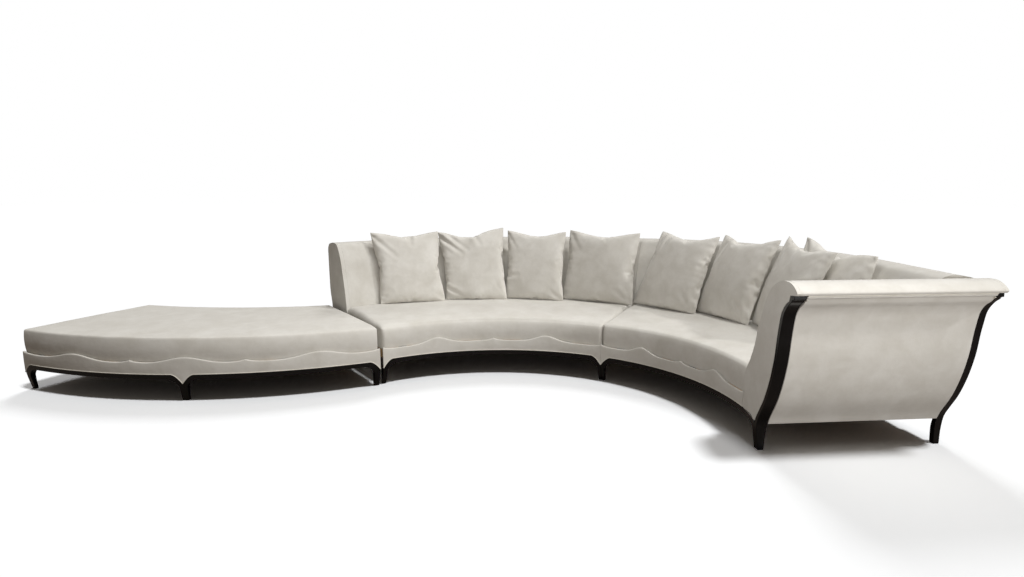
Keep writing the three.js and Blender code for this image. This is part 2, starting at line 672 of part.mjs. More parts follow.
// Lines of the arm's cross-section, as [outwards, height].
const armInnerLine = () => ARM_INNER_SHARES.map(
  ([o, z]) => [ARM_INNER_EDGE + o * ARM_WIDE, z * ARM_HEIGHT],
);
const postOuterLine = () => new THREE.SplineCurve(POST_OUTER_SHARES.map(([o, z]) => new THREE.Vector2(
  o * POST_FLARE, z * POST_HEIGHT))).getPoints(2 * POST_OUTER_SHARES.length).map(({ x, y }) => [x, y]);
function armInnerAt(z) {
  const rising = armInnerLine().slice(0, ARM_INNER_SHARES.length - 4);
  return heightOnLine(rising, clamp(z, rising[0][1], rising[rising.length - 1][1]));
}

const ARM_FRONT = -BASE_PROUD;
const ARM_BODY_START = ARM_FRONT + FRONT_PANEL_THICK + GAP;
const ARM_BODY_END = ARM_REAR - FRONT_PANEL_THICK - GAP;

const alongArm = (from, to, outline) => moulding(arm, {
  from, to, outline, place: (s, o, z) => [...arm.at(s, o), z],
});

function armPad() {
  const outer = [[ARM_INNER_EDGE, ARM_PAD_LOW], ...armInnerLine()];
  const inner = aside(outer, -ARM_WALL);
  inner[0][1] = ARM_PAD_LOW;
  return alongArm(ARM_BODY_START, ARM_BODY_END, [...outer, ...inner.reverse()]);
}

function armOuterPanel() {
  const line = postOuterLine().filter(([, z]) => z > ARM_LOW && z < POST_HEIGHT - 2 * PIPING_RADIUS);
  const foot = [heightOnLine(postOuterLine(), ARM_LOW), ARM_LOW];
  const outer = [foot, ...line].map(([o, z]) => [o - PANEL_RECESS, z]);
  const inner = outer.map(([o, z]) => [o - PANEL_THICK, z]);
  return alongArm(ARM_FRONT + POST_DEEP + GAP, ARM_REAR - REAR_POST_DEEP - SOFT_GAP,
    [...outer, ...inner.reverse()]);
}

// The upholstered end faces of the arm follow the roll and narrow to a point at the leg.
function armEndPanel(from, to) {
  const roll = armInnerLine();
  const post = postOuterLine().filter(([, z]) => z > POST_NOTCH_HEIGHT + SOFT_GAP)
    .map(([o, z]) => [o - POST_THICK - SOFT_GAP, z]).reverse();
  const rim = [POST_FLARE - POST_THICK - SOFT_GAP, roll[roll.length - 1][1]];
  const below = post.filter(([o, z]) => o < rim[0] && z < POST_HEIGHT - SOFT_GAP);
  const left = -ARM_INSET + SOFT_GAP;
  const start = [left, RAIL_TOP + SOFT_GAP];
  const tip = [POST_OUTER_SHARES[1][0] * POST_FLARE - POST_THICK - 2 * SOFT_GAP,
    POST_NOTCH_HEIGHT + 2 * SOFT_GAP];
  const shoulder = [-POST_THICK - NOTCH_WIDE / 2, RAIL_TOP - RAIL_TALL / 5 + SOFT_GAP];
  const seatCorner = [left, roll[0][1]];
  return alongArm(from, to, [start, seatCorner, ...roll.slice(1), rim, ...below, tip, shoulder]);
}

// A post is a curved plank. The front one has a wing that takes the end of the front rail.
function postOutline(wing) {
  const outer = postOuterLine().filter(([, z]) => z > 0);
  const foot = [POST_OUTER_SHARES[0][0] * POST_FLARE, 0];
  const rim = [foot, ...outer];
  const inner = rim.filter(([, z]) => z > POST_NOTCH_HEIGHT).map(([o, z]) => [o - POST_THICK, z]);
  const crest = [[POST_END_FLARE, POST_HEIGHT], [POST_END_FLARE, POST_HEIGHT + POST_END_THICK],
    [POST_FLARE - POST_THICK, POST_HEIGHT + POST_END_THICK]];
  const tip = [-POST_THICK, POST_NOTCH_HEIGHT];
  const low = [foot[0] - (wing ? POST_FOOT_THICK : REAR_FOOT_THICK), foot[1]];
  if (!wing) return [...rim, ...crest, ...inner.reverse(), tip, [-REAR_FOOT_THICK, LEG_BEND_TALL], low];
  const edge = -ARM_INSET + GAP;
  const shoulder = [-POST_THICK - NOTCH_WIDE / 2, RAIL_TOP - RAIL_TALL / 5];
  const under = RAIL_TOP - RAIL_TALL;
  const bendPoints = [];
  const steps = 5;
  const reach = WING_LONG - POST_FOOT_THICK;
  for (let i = 0; i <= steps; i += 1) {
    const turn = (Math.PI / 2) * (i / steps);
    bendPoints.push([-WING_LONG + reach * Math.sin(turn) ** 1.1,
      LEG_BEND_TALL + (under - LEG_BEND_TALL) * Math.cos(turn) ** 1.1]);
  }
  return [...rim, ...crest, ...inner.reverse(), tip, shoulder, [edge, RAIL_TOP], [edge, under],
    ...bendPoints, low];
}

// Each post goes from one place to another along the arm, and grows thinner towards its foot.
const post = (from, to, foot, wing) => plate(postOutline(wing), (o, z, w) => [
  ...arm.at(lerp(thinning(foot, from, z), thinning(foot + POST_FOOT_DEEP, to, z), w), o), z,
]);

function armFrame() {
  const inner = aside([[ARM_INNER_EDGE, ARM_PAD_LOW], ...armInnerLine()], -ARM_WALL - SOFT_GAP);
  const outer = postOuterLine().map(([o, z]) => [o - POST_THICK - RIB_CLEARANCE, z]);
  const low = FRAME_LOW;
  const top = ARM_HEIGHT - 3 * ARM_WALL;
  const left = [[inner[0][0], low], ...inner.filter(([, z]) => z > low && z < top)];
  const keep = left.filter(([o]) => o < POST_FLARE / 2);
  const rightSide = [[heightOnLine(outer, low), low],
    ...outer.filter(([, z]) => z > low && z < POST_HEIGHT - ARM_WALL)];
  const outline = [...keep, ...rightSide.reverse()];
  const ribCount = 4;
  const start = ARM_BODY_START + GAP;
  const end = ARM_BODY_END - GAP - RIB_THICK;
  const ribs = Array.from({ length: ribCount }, (_, i) => {
    const from = lerp(start, end, i / (ribCount - 1));
    return alongArm(from, from + RIB_THICK, outline);
  });
  const rail = (o, z) => alongArm(start, end + RIB_THICK,
    [[o, z], [o + BOARD_THICK, z], [o + BOARD_THICK, z + BACK_RAIL_TALL], [o, z + BACK_RAIL_TALL]]);
  const lowLeft = ARM_INNER_EDGE + ARM_WALL + 2 * SOFT_GAP;
  return joined([...ribs, rail(lowLeft, low), rail(-POST_THICK - RIB_CLEARANCE - BOARD_THICK, low),
    rail(POST_FLARE / 3, POST_HEIGHT - 3 * ARM_WALL)]);
}

function armPiping() {
  const roll = armInnerLine();
  const [o, z] = roll[roll.length - 1];
  const centre = [o - 3 * PIPING_RADIUS, z - 2 * PIPING_RADIUS];
  const sides = 6;
  const outline = Array.from({ length: sides }, (_, i) => polar(centre, PIPING_RADIUS, (360 * i) / sides));
  return alongArm(ARM_FRONT + POST_DEEP + GAP, ARM_REAR - REAR_POST_DEEP - GAP, outline);
}

// A loose pillow: two crowned faces that meet in a thin seam, with pointed corners, sides
// that pull in between them and a dip pressed into the top edge.
function pillowShape() {
  const cells = 8;
  const box = new THREE.BoxGeometry(2, 2, 2, cells, cells, 1);
  return (place) => bend(box, (x, y, side) => {
    const spread = (value) => Math.sin((Math.PI / 2) * value) * 0.55 + value * 0.45;
    const a = spread(x);
    const b = spread(y);
    const body = ((1 - Math.abs(a) ** 2.6) * (1 - Math.abs(b) ** 2.6)) ** 0.6;
    const thick = lerp(PILLOW_SEAM, side > 0 ? PILLOW_FRONT_THICK : PILLOW_REAR_THICK, body);
    const dip = PILLOW_DIP * (1 - a * a) ** 2 * ((1 + b) / 2) ** 3;
    const across = a * (PILLOW_WIDE / 2 - PILLOW_SIDE_PULL * (1 - b * b));
    const up = b * (PILLOW_TALL / 2 - PILLOW_SIDE_PULL * (1 - a * a)) - dip;
    return place(across, up, side * thick);
  });
}

function pillow({ module, share, footShare, turn, tilt, roll, crownShare }) {
  const owner = modules[module];
  const s = share * owner.width;
  const foot = footShare * SEAT_DEPTH;
  const [x, y] = owner.at(s, foot);
  const [farX, farY] = owner.at(s, foot + SEAT_DEPTH);
  const heading = Math.atan2(farY - y, farX - x) + degToRad(turn);
  const back = new THREE.Vector3(Math.cos(heading), Math.sin(heading), 0);
  const sideways = new THREE.Vector3(Math.sin(heading), -Math.cos(heading), 0);
  const upright = new THREE.Vector3(0, 0, Math.cos(degToRad(tilt)))
    .addScaledVector(back, Math.sin(degToRad(tilt)));
  const outward = new THREE.Vector3().crossVectors(sideways, upright);
  sideways.applyAxisAngle(outward, degToRad(roll));
  upright.applyAxisAngle(outward, degToRad(roll));
  const drop = (PILLOW_TALL / 2) * Math.cos(degToRad(roll))
    + (PILLOW_WIDE / 2) * Math.abs(Math.sin(degToRad(roll)));
  const lift = drop * Math.cos(degToRad(tilt));
  const seat = SEAT_HEIGHT + crownShare * SEAT_CROWN + GAP;
  const base = new THREE.Vector3(x, y, seat + lift)
    .addScaledVector(back, lift * Math.tan(degToRad(tilt)));
  return pillowShape()((a, b, c) => base.clone().addScaledVector(sideways, a)
    .addScaledVector(upright, b).addScaledVector(outward, c).toArray());
}

// A steel plate under the frames locks one module to the next.
const connector = (module, s, d) => bend(new THREE.BoxGeometry(1, 1, 1), (u, v, w) => [
  ...module.at(s + u * CONNECTOR_LONG, d + v * CONNECTOR_WIDE),
  RAIL_TOP - CONNECTOR_THICK / 2 + w * CONNECTOR_THICK,
]);

const sofa = new THREE.Group();
function add(name, solid, material) {
  const mesh = new THREE.Mesh(solid, material);
  mesh.name = name;
  sofa.add(mesh);
}

function addChaise() {
  const width = chaise.width;
  const midLeg = CHAISE_MID_LEG_SHARE * width;
  const legs = [0, midLeg, width];
  const inset = BOARD_THICK;
  add('chaise_frame', frame(chaise, inset, CHAISE_DEPTH - inset, 0), timber());
  add('chaise_webbing', webbing(chaise, inset, CHAISE_DEPTH - 2 * inset), elastic());
  add('chaise_seat_pad', seatPad(chaise, GAP, CHAISE_END_INSET, CHAISE_DEPTH), nubuck());
  add('chaise_apron', chaiseApron(legs), nubuck());
  add('chaise_apron_welt', apronWelt(chaise, legs), piping());
  add('chaise_leg_left', leg(chaise, 0, 'right', END_LEG_WIDER), lacquer());
  add('chaise_leg_middle', leg(chaise, midLeg, 'both'), lacquer());
  add('chaise_leg_right', leg(chaise, width, 'left', END_LEG_WIDER), lacquer());
  add('chaise_rail_left', frontRail(chaise, WING_LONG, midLeg - WING_LONG), lacquer());
  add('chaise_rail_right', frontRail(chaise, midLeg + WING_LONG, width - WING_LONG), lacquer());
  const rearLegs = [REAR_LEG_INSET, width - REAR_LEG_INSET];
  add('chaise_rear_base', rearBase(chaise, GAP, width - GAP, CHAISE_DEPTH, rearLegs), lacquer());
  add('chaise_rail_end', board(chaise, {
    from: 0,
    to: RAIL_DEEP,
    front: -BASE_PROUD + RAIL_DEEP + LEG_LEAN / 2,
    back: CHAISE_DEPTH - REAR_POST_SIDE - GAP,
    low: RAIL_TOP - RAIL_TALL,
    high: RAIL_TOP,
  }), lacquer());
  add('chaise_dust_cover', dustCover(chaise, CONNECTOR_LONG, CHAISE_DEPTH - 2 * REAR_POST_SIDE), backing());
}

// The chaise is upholstered all round, so its apron turns the corners.
function chaiseApron(legs) {
  const front = seatApron(chaise, legs, CHAISE_HUMP_SHARES, CHAISE_CUSP_SHARES);
  const low = RAIL_TOP + APRON_LIFT;
  const overlap = -BASE_PROUD + APRON_THICK / 2;
  const side = (from, to) => board(chaise, {
    from, to, front: overlap, back: CHAISE_DEPTH, low, high: PAD_LOW - GAP,
  });
  const rear = board(chaise, {
    from: GAP, to: chaise.width - GAP, front: CHAISE_DEPTH - APRON_THICK, back: CHAISE_DEPTH,
    low, high: PAD_LOW - GAP,
  });
  const ends = [side(GAP, APRON_THICK), side(chaise.width - APRON_THICK, chaise.width - GAP)];
  return joined([front, ...ends, rear]);
}

function addMiddle() {
  const width = middle.width;
  const inset = END_WALL + GAP;
  add('middle_frame', frame(middle, inset, FRAMED_DEPTH, SEAT_DEPTH), timber());
  add('middle_webbing', webbing(middle, inset, SEAT_DEPTH - GAP), elastic());
  const padDepth = SEAT_DEPTH - SOFT_GAP;
  add('middle_seat_pad', seatPad(middle, SEAT_END_INSET, SEAT_END_INSET / 3, padDepth), nubuck());
  add('middle_apron', seatApron(middle, [0, width], SEAT_HUMP_SHARES, SEAT_CUSP_SHARES), nubuck());
  add('middle_apron_welt', apronWelt(middle, [0, width]), piping());
  add('middle_leg_left', leg(middle, 0, 'right', END_LEG_WIDER / 2), lacquer());
  add('middle_leg_right', leg(middle, width, 'left'), lacquer());
  add('middle_rail_front', frontRail(middle, WING_LONG, width - WING_LONG), lacquer());
  add('middle_rear_base', rearBase(middle, GAP, width - GAP, REAR_FOOT_DEPTH - GAP,
    [REAR_LEG_INSET, width - REAR_LEG_INSET]), lacquer());
  add('middle_end_panel_left', endPanel(middle, GAP, END_WALL), nubuck());
  add('middle_end_panel_right', endPanel(middle, width - END_WALL, width - GAP), nubuck());
  add('middle_back_frame', backFrame(middle, 2 * END_WALL), timber());
  add('middle_back_pad', backPad(middle, inset, width - inset, raised(middle)), nubuck());
  add('middle_outside_back', outsideBack(middle, inset, width - inset, raised(middle)), nubuck());
  add('middle_dust_cover', dustCover(middle, CONNECTOR_LONG, COVERED_DEPTH), backing());
}

function addRight() {
  const width = right.width;
  const inset = END_WALL + GAP;
  add('right_frame', frame(right, inset, FRAMED_DEPTH, SEAT_DEPTH), timber());
  add('right_webbing', webbing(right, inset, SEAT_DEPTH - GAP), elastic());
  add('right_seat_pad', seatPad(right, SEAT_END_INSET / 3, GAP, SEAT_DEPTH - SOFT_GAP), nubuck());
  add('right_apron', seatApron(right, [0], SEAT_HUMP_SHARES, SEAT_CUSP_SHARES), nubuck());
  add('right_apron_welt', apronWelt(right, [0]), piping());
  add('right_leg_left', leg(right, 0, 'right'), lacquer());
  add('right_rail_front', frontRail(right, WING_LONG, width), lacquer());
  add('right_rear_base', rearBase(right, GAP, width - GAP, REAR_FOOT_DEPTH - GAP,
    [REAR_LEG_INSET]), lacquer());
  add('right_end_panel', endPanel(right, GAP, END_WALL), nubuck());
  add('right_back_frame', backFrame(right, 2 * END_WALL), timber());
  add('right_back_pad', backPad(right, inset, width, meetingArm), nubuck());
  add('right_outside_back', outsideBack(right, inset, width, meetingArm), nubuck());
  add('right_dust_cover', dustCover(right, CONNECTOR_LONG, COVERED_DEPTH), backing());
}

function addArm() {
  add('arm_frame', armFrame(), timber());
  add('arm_pad', armPad(), nubuck());
  add('arm_outer_panel', armOuterPanel(), nubuck());
  add('arm_front_panel', armEndPanel(ARM_FRONT, ARM_FRONT + FRONT_PANEL_THICK), nubuck());
  add('arm_rear_panel', armEndPanel(ARM_REAR - FRONT_PANEL_THICK, ARM_REAR), nubuck());
  const frontFoot = ARM_FRONT + FRONT_FOOT_BACK;
  add('arm_front_post', post(ARM_FRONT, ARM_FRONT + POST_DEEP, frontFoot, true), lacquer());
  const rearFoot = ARM_REAR - POST_FOOT_DEEP - REAR_FOOT_FORWARD;
  add('arm_rear_post', post(ARM_REAR - REAR_POST_DEEP, ARM_REAR, rearFoot, false), lacquer());
  add('arm_piping', armPiping(), piping());
}

addChaise();
addMiddle();
addRight();
addArm();
add('connector_left', connector(middle, 0, CONNECTOR_DEPTH), steel());
add('connector_corner', connector(middle, middle.width, CONNECTOR_DEPTH), steel());
PILLOWS.forEach((entry, i) => add(`throw_pillow_${i + 1}`, pillow(entry), nubuck()));

// The origin is the middle of the footprint's box, on the floor.
const reach = new THREE.Box3().setFromObject(sofa);
const centre = reach.getCenter(new THREE.Vector3());
sofa.position.set(-centre.x, -centre.y, -reach.min.z);
sofa.updateMatrixWorld(true);

export default sofa;
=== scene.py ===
import bmesh
import bpy
import numpy as np
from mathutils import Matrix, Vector


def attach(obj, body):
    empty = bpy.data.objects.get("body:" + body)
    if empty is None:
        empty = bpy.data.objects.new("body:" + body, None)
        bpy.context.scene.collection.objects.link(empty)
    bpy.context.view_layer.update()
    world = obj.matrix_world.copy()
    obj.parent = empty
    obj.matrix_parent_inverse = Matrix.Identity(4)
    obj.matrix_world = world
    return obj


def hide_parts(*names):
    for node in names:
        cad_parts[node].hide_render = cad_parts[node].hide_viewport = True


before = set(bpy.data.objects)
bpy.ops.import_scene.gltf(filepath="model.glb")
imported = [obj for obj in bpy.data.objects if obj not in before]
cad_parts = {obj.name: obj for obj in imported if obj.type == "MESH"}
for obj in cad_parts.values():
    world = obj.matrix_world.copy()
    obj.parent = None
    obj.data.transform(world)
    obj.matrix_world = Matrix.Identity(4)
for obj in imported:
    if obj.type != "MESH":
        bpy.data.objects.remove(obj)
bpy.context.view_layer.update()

# Front bases. Each is a beech rail with its legs cut in one piece, bent to the curve of the
# module and sprayed with black gloss lacquer. The top dips to a notch over each leg, where the
# cover comes down to a point.
SEAT_DEPTH = 0.634
PLAN_CENTRE = np.array([0.40105, -1.07613])
JOINT_TURN = 124.1
CORNER_TURN = 59.3
MIDDLE_RADIUS = 1.418
MIDDLE_SWEEP = 64.8
RIGHT_RADIUS = 1.253
RIGHT_SWEEP = 56
CHAISE_RADIUS = 1.391
CHAISE_GAP = 0.030
CHAISE_DEPTH = 0.955
CHAISE_LONG = 2.353
CHAISE_END_LONG = 0.918
CHAISE_END_TURN = 66.2
CHAISE_FRONT_BOW = 0.272
CHAISE_REAR_BOW = 0.100
CHAISE_MIDDLE_LEG = 0.496
RAIL_TOP = 0.178
RAIL_TALL = 0.028
RAIL_LOW = RAIL_TOP - RAIL_TALL
RAIL_STEP = 0.04
BASE_PROUD = 0.020
BASE_DEEP = 0.042
BASE_SEAM = 0.0012
BASE_EDGE = 0.0028
NOTCH_WIDE = 0.074
NOTCH_DEEP = 0.060
LEG_HALF = 0.0245
LEG_FOOT_DEEP = 0.020
LEG_BEND_TALL = 0.092
FOOT_HALF = 0.0215
FOOT_LEAN = 0.032
END_LEG_WIDER = 0.014
WING_LONG = 0.112


def direction(turn):
    """The unit vector in plan at a turn in degrees."""
    return np.array([np.cos(np.radians(turn)), np.sin(np.radians(turn))])


def held(share):
    """A share held between 0 and 1."""
    return np.clip(share, 0, 1)


def three_point(start, middle, end):
    """The quadratic in t that has the three values at t = 0, 1/2 and 1."""
    return lambda t: (start * (1 - t) * (1 - 2 * t) + 4 * middle * t * (1 - t)
                      + end * t * (2 * t - 1))


def arc_module(centre, radius, start, sweep, deeper):
    """Plan of a curved module. s runs along the seat's front edge and d goes back from it: the
    point lies at radius + d from the centre, plus the extra depth that grows in over the seat,
    at the start angle less the share s / width of the sweep."""
    width = radius * np.radians(sweep)

    def at(s, d):
        share = s / width
        reach = radius + d + deeper(share) * held(d / SEAT_DEPTH)
        angle = np.radians(start - sweep * share)
        return centre[0] + reach * np.cos(angle), centre[1] + reach * np.sin(angle)

    return width, at


def bow(a, b, height):
    """An arc of a circle through a and b that swells by the height to the right of the way from
    a to b, as a function of the share of its length, and its length."""
    chord = np.linalg.norm(b - a)
    radius = chord ** 2 / (8 * height) + height / 2
    half = np.arcsin(chord / 2 / radius)
    along = (b - a) / chord

    def point(share):
        turn = (2 * share - 1) * half
        x = radius * np.sin(turn)
        y = radius - height - radius * np.cos(turn)
        middle = (a + b) / 2
        return middle[0] + along[0] * x - along[1] * y, middle[1] + along[1] * x + along[0] * y

    return 2 * half * radius, point


def chaise_module():
    """Plan of the chaise: straight lines across it join its bowed front to its bowed rear."""
    joint = direction(JOINT_TURN)
    front_right = PLAN_CENTRE - [CHAISE_GAP, 0] + CHAISE_RADIUS * joint
    rear_right = front_right + CHAISE_DEPTH * joint
    front_left = front_right - np.array([CHAISE_LONG, 0])
    rear_left = front_left + CHAISE_END_LONG * direction(CHAISE_END_TURN)
    width, front = bow(front_left, front_right, CHAISE_FRONT_BOW)
    rear = bow(rear_left, rear_right, CHAISE_REAR_BOW)[1]

    def at(s, d):
        near, far = front(s / width), rear(s / width)
        share = d / CHAISE_DEPTH
        return near[0] + (far[0] - near[0]) * share, near[1] + (far[1] - near[1]) * share

    return width, at


RIGHT_CENTRE = PLAN_CENTRE + (MIDDLE_RADIUS - RIGHT_RADIUS) * direction(CORNER_TURN)
chaise_width, chaise_at = chaise_module()
middle_width, middle_at = arc_module(PLAN_CENTRE, MIDDLE_RADIUS, JOINT_TURN, MIDDLE_SWEEP,
                                     three_point(0, 0.020, 0.042))
right_width, right_at = arc_module(RIGHT_CENTRE, RIGHT_RADIUS, CORNER_TURN, RIGHT_SWEEP,
                                   three_point(0.042, 0.066, 0.040))
# Each module's name, plan, width and the places of its front legs.
MODULES = [("chaise", chaise_at, chaise_width, [0, CHAISE_MIDDLE_LEG * chaise_width, chaise_width]),
           ("middle", middle_at, middle_width, [0, middle_width]),
           ("right", right_at, right_width, [0])]


def placed(at, s, d, z):
    """Points in space from places and depths in a module's plan and heights, spread over a grid."""
    s, d, z = np.broadcast_arrays(s, d, z)
    return np.stack([*at(s, d), z], -1)


def between(lower, upper, share):
    """Both coordinates of points at the shares of the way from one line to the other."""
    return [a[:, None] + (b - a)[:, None] * share for a, b in zip(lower.T, upper.T)]


def linked(name, data):
    """A new object of the scene that holds the data."""
    made = bpy.data.objects.new(name, data)
    bpy.context.scene.collection.objects.link(made)
    return made


def shell(name, points, faces, crease=38):
    """A closed mesh from points and faces: doubles are merged, and the faces are turned out."""
    mesh = bpy.data.meshes.new(name)
    mesh.from_pydata(np.asarray(points, float).reshape(-1, 3).tolist(), [], faces.tolist())
    work = bmesh.new()
    work.from_mesh(mesh)
    bmesh.ops.remove_doubles(work, verts=work.verts, dist=1e-6)
    bmesh.ops.recalc_face_normals(work, faces=work.faces)
    work.to_mesh(mesh)
    work.free()
    mesh.polygons.foreach_set("use_smooth", np.ones(len(mesh.polygons), bool))
    mesh.set_sharp_from_angle(angle=np.radians(crease))
    return linked(name, mesh)


def sweep(name, rings, crease=38):
    """A skin over rings of an even number of points. Quads join each ring to the next, and at
    both ends quads join each point of the ring to its partner counted from the other end."""
    count, size = rings.shape[:2]
    index = np.arange(count * size).reshape(count, size)
    after = np.roll(index, -1, axis=1)
    skin = np.stack([index[:-1], index[1:], after[1:], after[:-1]], -1).reshape(-1, 4)
    j = np.arange(size // 2 - 1)
    ladder = np.stack([j, j + 1, size - 2 - j, size - 1 - j], -1)
    return shell(name, rings, np.concatenate([skin, index[0][ladder], index[-1][ladder]]), crease)


def soften(piece, width, steps=3):
    """Rounds the edges of a piece that are sharper than 40 degrees with a bevel of the width."""
    bevel = piece.modifiers.new("rounded edges", "BEVEL")
    bevel.width = width
    bevel.segments = steps
    bevel.limit_method = "ANGLE"
    bevel.angle_limit = np.radians(40)
    bevel.harden_normals = True
    return piece


def plank(name, near, far, bevel, steps=3):
    """A body between its near and its far face, with its edges rounded."""
    return soften(sweep(name, np.concatenate([near, far[:, ::-1]], axis=1)), bevel, steps)


def notch(distance):
    """Depth of the notch over a leg: its full depth at the leg, falling as the power 1.8 of the
    share of its width that is left."""
    return NOTCH_DEEP * held(1 - np.abs(distance) / NOTCH_WIDE) ** 1.8


def front_face(z):
    """Depth of the base's front face: proud of the seat at the rail, and stepping back towards
    the floor as the power 1.4 of the share of the way down."""
    return -BASE_PROUD + FOOT_LEAN * held(1 - z / RAIL_LOW) ** 1.4


def thinner(foot, top, z):
    """A size that goes evenly from its value at the floor to its value under the rail."""
    return foot + (top - foot) * held(z / RAIL_LOW)


def half_leg(wider):
    """Lower and upper line of half a leg with its wing, both from the leg's middle outwards: the
    lower one goes across the foot, up the leg and round a quarter of a soft ellipse."""
    turn = np.linspace(0, np.pi / 2, 15)[::-1]
    bend = np.stack([WING_LONG - (WING_LONG - LEG_HALF - wider) * np.sin(turn) ** 1.1,
                     LEG_BEND_TALL + (RAIL_LOW - LEG_BEND_TALL) * np.cos(turn) ** 1.1], -1)
    half = FOOT_HALF + wider
    foot = [[0, 0], [half - 0.004, 0], [half - 0.001, 0.0015], [half, 0.005], [half + 0.001, 0.030],
            [half + 0.002, 0.060]]
    lower = np.concatenate([foot, bend])
    across = WING_LONG * np.linspace(0, 1, len(lower)) ** 1.15
    return lower, np.stack([across, RAIL_TOP - notch(across)], -1)


def rail_run(left, right, least):
    """Lower and upper line of a plain stretch of rail, in steps of about 40 mm."""
    s = np.linspace(left, right, max(int((right - left) / RAIL_STEP), least))
    return [np.stack([s, np.full_like(s, z)], -1) for z in (RAIL_LOW, RAIL_TOP)]


def base_lines(width, legs, wider):
    """Lower and upper line of a whole base: half legs, some of them wider, and rails between."""
    runs = []
    ends = sorted({0, width, *legs})
    for a, b in zip(ends[:-1], ends[1:]):
        if a in legs:
            runs.append([line[:-1] + [a, 0] for line in half_leg(wider.get(a, 0))])
        runs.append(rail_run(a + WING_LONG * (a in legs), b - WING_LONG * (b in legs), 3))
        if b in legs:
            halves = half_leg(wider.get(b, 0))
            runs.append([(line[:-1] * [-1, 1] + [b, 0])[::-1] for line in halves])
    return [np.clip(np.concatenate(line), [BASE_SEAM, 0], [width - BASE_SEAM, 1])
            for line in zip(*runs)]


def front_base(name, at, width, legs, wider):
    """The base stands between its two lines, carried back from the front face."""
    s, z = between(*base_lines(width, legs, wider), np.array([0, 0.12, 0.3, 0.5, 0.7, 0.88, 1]))
    front = front_face(z)
    rear = front + thinner(LEG_FOOT_DEEP, BASE_DEEP, z)
    return plank(name, placed(at, s, front, z), placed(at, s, rear, z), BASE_EDGE)


def linear(code):
    """An sRGB hex colour as linear light: a straight part below 0.04045, a power of 2.4 above."""
    value = np.array([int(code[i:i + 2], 16) for i in (1, 3, 5)]) / 255
    light = np.where(value <= 0.04045, value / 12.92, ((value + 0.055) / 1.055) ** 2.4)
    return (*light.tolist(), 1)


def add(tree, kind, inputs=None, out=0, **settings):
    """Adds a node with its settings and gives one of its outputs. Each input is a value, or the
    output that feeds it."""
    made = tree.nodes.new("ShaderNode" + kind)
    for key, value in settings.items():
        setattr(made, key, value)
    for key, value in (inputs or {}).items():
        if isinstance(value, bpy.types.NodeSocket):
            tree.links.new(value, made.inputs[key])
        else:
            made.inputs[key].default_value = value
    return made.outputs[out] if made.outputs else made


def material(name, surface, *looks):
    """A node material: its shader comes from the surface, a function that lays the nodes over
    the piece's own coordinates."""
    made = bpy.data.materials.new(name)
    made.use_nodes = True
    tree = made.node_tree
    tree.nodes.clear()
    place = add(tree, "TexCoord", out="Object")
    add(tree, "OutputMaterial", {"Surface": surface(tree, place, *looks)})
    return made


def black_lacquer(tree, place):
    """Sprayed gloss polyurethane lacquer on beech, rubbed and polished: a near-black ground with
    a thin clear coat that mirrors the room faintly, and a soft orange peel of a few millimetres."""
    peel = add(tree, "TexNoise", {"Vector": place, "Scale": 220, "Detail": 2}, "Fac")
    haze = add(tree, "TexNoise", {"Vector": place, "Scale": 14, "Detail": 3}, "Fac")
    rough = add(tree, "MapRange", {"Value": haze, "To Min": 0.16, "To Max": 0.3})
    ground = add(tree, "Mix", {0: haze, 6: linear("#060606"), 7: linear("#0f0e0f")},
                 data_type="RGBA", out=2)
    bump = add(tree, "Bump", {"Height": peel, "Strength": 0.12, "Distance": 0.0004})
    return add(tree, "BsdfPrincipled", {
        "Base Color": ground, "Roughness": rough, "IOR": 1.45, "Specular IOR Level": 0.35,
        "Coat Weight": 0.15, "Coat Roughness": 0.08, "Normal": bump})


def dress(piece, material, slot, *nodes):
    """Gives a piece its finish and its body, and hides the solids it stands for. The slot is not
    used.
    """
    piece.data.materials.append(material)
    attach(piece, "root")
    if nodes:
        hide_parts(*nodes)
    return piece


lacquer = material("black gloss lacquer", black_lacquer)
wider_legs = ({0: END_LEG_WIDER, chaise_width: END_LEG_WIDER}, {0: END_LEG_WIDER / 2}, {})
base_solids = (
    ("chaise_leg_left", "chaise_leg_middle", "chaise_leg_right", "chaise_rail_left",
     "chaise_rail_right"),
    ("middle_leg_left", "middle_leg_right", "middle_rail_front"),
    ("right_leg_left", "right_rail_front"))
for (name, at, width, legs), wider, solids in zip(MODULES, wider_legs, base_solids):
    dress(front_base(f"{name}_front_base", at, width, legs, wider), lacquer, "lacquer", *solids)

# Rear bases. A lacquered beech rail under the rear of each module, with square legs that taper
# to the floor, and a short rail along the open left end of the chaise.
REAR_LEG_INSET = 0.042
REAR_LEG_SIDE = 0.021
REAR_RAIL_DEEP = 0.030
REAR_FOOT_DEPTH = 0.940
END_GAP = 0.0008
REAR_EDGE = 0.0022
END_RAIL_DEPTHS = (0.040, 0.912)


def rear_base(name, at, width, depth, legs):
    """The lower line drops to the floor at each leg, which tapers to three quarters."""
    sides = [leg + side * REAR_LEG_SIDE for leg in legs for side in (-1, 1)] + [width - END_GAP]
    foot = REAR_LEG_SIDE * 0.75
    runs = [rail_run(END_GAP, sides[0], 2)]
    for leg, left, right in zip(legs, sides[1::2], sides[2::2]):
        runs.append([np.array([[leg - foot, z], [leg + foot, z]]) for z in (0, RAIL_TOP)])
        runs.append(rail_run(left, right, 2))
    s, z = between(*[np.concatenate(line) for line in zip(*runs)], np.linspace(0, 1, 5))
    return plank(name, placed(at, s, depth - REAR_RAIL_DEEP, z), placed(at, s, depth, z), REAR_EDGE)


